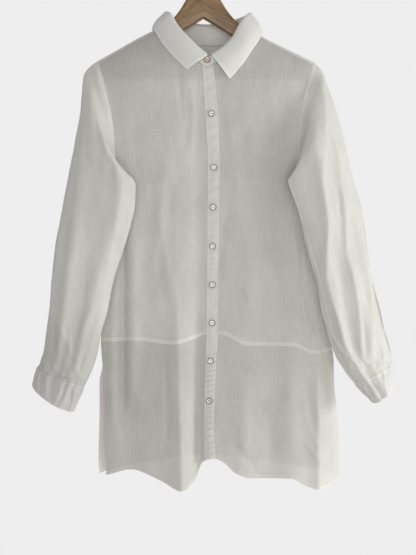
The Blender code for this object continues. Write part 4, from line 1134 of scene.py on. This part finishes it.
def gathers(step, angle):
    """Small pleats where the sleeve is gathered on to its cuff."""
    turn = np.degrees(angle)
    near = np.exp(-(((step - CUFF_STEP) / GATHERS_REACH) ** 2))
    pleats = 1.2 * np.sin(turn / 4.4) + 0.8 * np.sin(turn / 2.7 + 1)
    return near * pleats * (0.4 + 0.6 * np.sin(turn / 23) ** 2)


def sleeve_grid(hand, side, steps, count):
    angles = math.pi + np.linspace(0, 2 * math.pi, count)
    step, angle = np.meshgrid(steps, angles, indexing="ij")
    form = sleeve_form(hand, step, angle)
    drop, ahead = armhole_ring(angles)
    x = side * armhole_x(drop)
    drop = np.maximum(drop, RIDGE.at("drop", x))
    ring = np.where(ahead[:, None], on_front(x, drop), on_back(x, drop))
    first = sleeve_form(hand, angles * 0, angles)
    fade = np.maximum(1 - step / CAP_STEPS, 0) ** 2
    grid = form + (ring - first)[None] * fade[..., None]
    normals = unit(np.cross(np.gradient(grid, axis=1), np.gradient(grid, axis=0))) * side
    rise = sleeve_creases(hand, step, angle, form) + gathers(step, angle)
    rise[:, -1] = rise[:, 0]
    ahead = ease(3 * np.sin(angle))
    grid = grid + normals * rise[..., None]
    grid[..., 1] -= ridge_depth(hand, form[..., 0], -form[..., 2]) * ahead
    return grid


sleeve_linen = linen_material("sleeve linen", (0.785, 0.775, 0.735), 0.22, 0.26, 0.12)
for hand, side in HANDS:
    steps = CUFF_STEP * np.linspace(0, 1, SLEEVE_ROWS)
    sleeve = sleeve_grid(hand, side, steps, SLEEVE_COLUMNS_ROUND)
    cloth_sheet(f"sleeve_{hand}_linen", sleeve, side, sleeve_linen, [f"sleeve_{hand}"], closed=True,
                strips={"top": 8}, seed=15 + side,
                backed=lambda x, drop: (
                    SLEEVE_SHADE[hand] * ease((drop - SLEEVE_SHADE_FROM) / SLEEVE_SHADE_OVER)))

# Cuffs: straight doubled bands that the sleeves are gathered on to, closed by a button at the back.
for hand, side in HANDS:
    steps = np.linspace(CUFF_STEP, CUFF_END_STEP, 26)
    cuff = sleeve_grid(hand, side, steps, SLEEVE_COLUMNS_ROUND)
    cloth_sheet(f"cuff_{hand}_linen", cuff, side, doubled_linen, [f"cuff_{hand}"], thick=DOUBLED, closed=True,
                strips={"top": 3, "bottom": 3}, seed=18 + side,
                backed=lambda x, drop: np.full(drop.shape, CUFF_SHADE_MORE * SLEEVE_SHADE[hand]))

# Collar: a doubled stand sewn round the neck and lapped at the front, and a doubled leaf that is sewn
# into its top edge and rolls over it. The leaf's edges are turned, pressed and stitched.
COLLAR = Table(
    "turn crest_x crest_drop edge_x edge_drop",
    (0, 2, 198.5, -34, 228),
    (11, -13, 186, -44, 218),
    (21.5, -25.5, 173, -54.5, 207.5),
    (33, -39, 158, -65, 196),
    (45, -51, 142, -77, 181),
    (62, -64, 119, -89, 162),
    (90, -73, 113, -97, 147),
    (135, -51, 120, -72, 171),
    (180, 1, 128, 1, 177),
    (225, 53, 121, 75, 173),
    (270, 79.4, 114.5, 102, 156),
    (293, 71, 123, 95, 172),
    (309, 61, 138, 84, 190),
    (323, 47, 165, 71.6, 210),
    (334.5, 34, 180, 60, 225),
    (344, 22.8, 190, 52, 235),
    (354, 10, 198, 43, 245),
)
LEAF_END_TURN = 354
STAND_OVER_TURN = -9
STAND_UNDER_TURN = 364
STAND_TOP_CLOSER = 0.95
STAND_LIFT = 1.2
STAND_LAP_FROM = 290
STAND_LAP_OVER = 50
END_ROUND = 0.28
ROLL_RISE = 4.4
ROLL_OUT = 2.8
FALL_OUT = 6.8
FALL_DROP = 4.5
LEAF_BULGE = 4
LEAF_LIFT = 1.0
LEAF_CLEAR = 3.9


def outward(turn):
    angle = np.radians(turn)
    return np.stack([-np.sin(angle), -np.cos(angle), angle * 0], -1)


def stand_line(turn):
    turn = np.asarray(turn, float)
    base = neck_point(turn)
    crest_turn = np.clip(turn, 0, LEAF_END_TURN)
    lean = COLLAR.at("crest_x", crest_turn) - neck_point(crest_turn)[..., 0]
    crest_drop = COLLAR.at("crest_drop", crest_turn)
    top = point(base[..., 0] + lean, base[..., 1] * STAND_TOP_CLOSER, crest_drop + ROLL_RISE)
    tuck = point(0, LAP * ease((turn - STAND_LAP_FROM) / STAND_LAP_OVER), 0)
    return base + unit(top - base) * STAND_LIFT + tuck, top + tuck


over_turns = np.linspace(STAND_OVER_TURN, 0, 16)[:-1]
stand_turns = np.concatenate([over_turns, np.linspace(0, STAND_UNDER_TURN, 240)])
base, top = stand_line(stand_turns)
heights = 1 - END_ROUND * ease(stand_turns / STAND_OVER_TURN) ** 3
levels = np.linspace(1, 0, 12)[:, None]
collar_linen = linen_material("collar linen", (0.79, 0.785, 0.75), 0.03, 0.18, 0.10, 0.7)
stand = mix(base[None], top[None], (levels * heights[None])[..., None])
cloth_sheet("collar_stand_linen", stand, 1, collar_linen, ["collar_stand"],
            thick=DOUBLED, strips={"top": 2.5, "bottom": 2.5, "left": 2.5}, seed=21)


def body_place(x, drop, turn):
    return np.where((np.cos(np.radians(turn)) > 0)[..., None], on_front(x, drop), on_back(x, drop))


def leaf_grid():
    turns = np.linspace(0, LEAF_END_TURN, 300)
    _, top = stand_line(turns)
    out = outward(turns)
    crest = top + out * ROLL_OUT + (0, 0, ROLL_RISE)
    fall = top + out * FALL_OUT + (0, 0, ROLL_RISE - FALL_DROP)
    edge_x, edge_drop = COLLAR.at("edge_x", turns), COLLAR.at("edge_drop", turns)
    edge = body_place(edge_x, edge_drop, turns)
    over = body_place(edge_x + 1, edge_drop, turns) - body_place(edge_x - 1, edge_drop, turns)
    under = body_place(edge_x, edge_drop + 1, turns) - body_place(edge_x, edge_drop - 0.5, turns)
    normal = unit(np.cross(over, under))
    kept = (normal[:, 2] > -0.2) & ((normal * out).sum(-1) > -0.3)
    edge = edge + np.where(kept[:, None], normal, -normal) * LEAF_CLEAR
    start = top + (0, 0, LEAF_LIFT)
    rows = [start, mix(start, crest, 0.55) - out * 0.7, crest, mix(crest, fall, 0.5) + out * 0.8, fall]
    for share in np.linspace(0, 1, 24)[1:]:
        bulge = out * LEAF_BULGE * math.sin(math.pi * share)
        lift = 0.8 * np.sin(turns / 23 + 3 * share)[:, None] * share * out
        rows.append(mix(fall, edge, share) + bulge + lift)
    return np.array(rows)


cloth_sheet("collar_leaf_linen", leaf_grid(), 1, collar_linen, ["collar_leaf"], thick=DOUBLED,
            strips={"bottom": 5, "left": 5, "right": 5}, seed=22)

# Buttons: eleven discs turned from shell, with a rim, a dished face and two holes, sewn on with linen
# thread. Nine close the front and one closes each cuff.
BUTTON_RADIUS = 5.9
BUTTON_THICK = 2.2
TOP_BUTTON_CLEAR = 0.75
FRONT_BUTTON_CLEAR = 0.45
CUFF_BUTTON_CLEAR = 0.5
BUTTON_DROPS = (307, 404, 476, 547, 617, 686, 755, 827)
TOP_BUTTON_X = 2.4
TOP_BUTTON_DROP = 209.5
BUTTON_TURNS = (0.3, 1.1, 0.2, 0.9, 1.3, 0.5, 1.2, 0.8)
CUFF_BUTTON_STEPS = np.array([16.32, 16.5, 16.68])
BUTTON_SIDES = 48
FACE_SHARE = 0.42
FACE_HEIGHT = 0.58
HOLE_APART = 1.3
HOLE_RADIUS = 0.95
HOLE_DEPTH = 1.0
HOLE_WALL = 0.2
THREAD_RADIUS = 0.22
BUTTON_PROFILE = Table(
    "place radius height",
    (0, 0.84, 0), (1, 0.95, 0.05), (2, 1, 0.3), (3, 1, 0.7), (4, 0.97, 0.93), (5, 0.88, 1), (6, 0.78, 0.95),
    (7, 0.68, 0.72), (8, 0.55, 0.62), (9, 0.42, 0.58),
)


def shell_material(name, tint):
    """Colours from the holes, through the dished face, to the dark rim, with clouds in the shell."""
    material, tree, shader = make_material(name)
    turned = stored(tree, "turned")
    face = colour_ramp(
        tree, split(tree, turned)["X"], (0.24, (0.10, 0.075, 0.05)), (0.34, (0.55, 0.54, 0.50)),
        (0.45, (0.86, 0.86, 0.84)), (0.68, (0.80, 0.79, 0.76)), (0.78, (0.16, 0.125, 0.095)),
        (0.93, (0.30, 0.25, 0.20)), (1.0, (0.15, 0.115, 0.085)),
    )
    clouds = ranged(tree, noise_on(tree, turned, 1.6, 3.0), 0.3, 0.7, 0.62, 1.15)
    set_inputs(tree, shader, {"Base Color": times(tree, times(tree, face, clouds), tint), "Roughness": 0.24,
                              "Coat Weight": 0.4})
    return material


pale_shell = shell_material("pale shell", (1, 0.99, 0.97))
brown_shell = shell_material("brown shell", (0.84, 0.68, 0.53))

thread, tree, shader = make_material("linen thread")
twist = noise_on(tree, add_node(tree, "ShaderNodeTexCoord").outputs["Object"], 2600.0)
set_inputs(tree, shader, {"Base Color": ranged(tree, twist, 0.0, 1.0, 0.3, 0.42), "Roughness": 0.85})


def button_axes(normal, turn):
    normal = unit(np.asarray(normal, float))
    level = unit(np.cross(normal, (0, 0, 1)))
    rise = np.cross(level, normal)
    across = level * math.cos(turn) + rise * math.sin(turn)
    return normal, across, rise * math.cos(turn) - level * math.sin(turn)


def make_button(name, node, centre, normal, turn, shell=pale_shell):
    """A turned disc on centre, and the bar of thread through its two holes."""
    normal, across, up = button_axes(normal, turn)
    keys = np.linspace(0, 9, 37)
    face_radii = np.linspace(FACE_SHARE, 0, 17)[1:]
    radii = np.concatenate([BUTTON_PROFILE.at("radius", keys), face_radii]) * BUTTON_RADIUS
    face_heights = np.full(len(face_radii), FACE_HEIGHT)
    heights = np.concatenate([BUTTON_PROFILE.at("height", keys), face_heights]) * BUTTON_THICK
    angles = np.arange(BUTTON_SIDES) / BUTTON_SIDES * 2 * math.pi
    aside, above = radii[:, None] * np.cos(angles), radii[:, None] * np.sin(angles)
    near = np.hypot(abs(aside) - HOLE_APART, above)
    well = ease((HOLE_RADIUS + 0.12 - near) / HOLE_WALL) * (radii[:, None] < FACE_SHARE * BUTTON_RADIUS)
    height = heights[:, None] - well * HOLE_DEPTH
    points = centre + normal * height[..., None] + across * aside[..., None] + up * above[..., None]
    faces = ring_faces(len(radii), BUTTON_SIDES, capped=False)
    faces.append(tuple(reversed(range(BUTTON_SIDES))))
    shade = np.where(well > 0.3, 0, np.maximum(radii[:, None] / BUTTON_RADIUS, 0.45) + 0 * aside)
    shade = np.stack([shade, aside + turn, above], -1)
    disc = mesh_object(name, points.reshape(-1, 3) + (SHIRT_SHIFT, 0, 0), faces, shell, [node])
    add_vectors(disc, "turned", shade.reshape(-1, 3))
    rings = []
    for part in np.linspace(-1, 1, 9):
        lift = BUTTON_THICK * FACE_HEIGHT + THREAD_RADIUS * 0.8 - 1.1 * abs(part) ** 6
        middle = centre + across * part * HOLE_APART + normal * lift
        rings.append([
            middle + THREAD_RADIUS * (up * math.cos(angle) + normal * math.sin(angle)) for angle in angles[::6]
        ])
    stitch = np.array(rings).reshape(-1, 3) + (SHIRT_SHIFT, 0, 0)
    mesh_object(f"{name}_thread", stitch, ring_faces(9, 8), thread)


top_turn = np.degrees(np.arcsin((NECK_MIDDLE - TOP_BUTTON_X) / NECK_HALF))
base, top = stand_line(top_turn)
seat = mix(base, top, (TOP_BUTTON_DROP + base[2]) / (base[2] - top[2]))
seat = seat - (0, DOUBLED / 2 + TOP_BUTTON_CLEAR, 0)
make_button("button_1_shell", "button_1", seat, (0, -1, 0), 0.4, brown_shell)
for number, drop in enumerate(BUTTON_DROPS, 2):
    x = (BAND.at("right_edge", drop) + BAND.at("left_edge", drop)) / 2
    seat = on_front(x, drop)
    over = on_front(x + 4, drop) - on_front(x - 4, drop)
    under = on_front(x, drop + 4) - on_front(x, drop - 4)
    normal = unit(np.cross(over, under))
    normal = -np.sign(normal[1]) * normal
    seat = seat + normal * (DOUBLED / 2 + FRONT_BUTTON_CLEAR)
    make_button(f"button_{number}_shell", f"button_{number}", seat, normal, BUTTON_TURNS[number - 2])

for hand, side in HANDS:
    cuff = sleeve_grid(hand, side, CUFF_BUTTON_STEPS, 401)
    low, high = (np.array(corner) * 1000 - (SHIRT_SHIFT, 0, 0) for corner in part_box(f"cuff_button_{hand}"))
    middle = (low + high) / 2
    nearest = int(np.argmin(np.linalg.norm(cuff[1, 3:-3] - middle, axis=1))) + 3
    over, under = cuff[1, nearest + 3] - cuff[1, nearest - 3], cuff[2, nearest] - cuff[0, nearest]
    normal = unit(np.cross(over, under)) * side
    seat = cuff[1, nearest] + normal * (DOUBLED / 2 + CUFF_BUTTON_CLEAR)
    make_button(f"cuff_button_{hand}_shell", f"cuff_button_{hand}", seat, normal, 0.7)
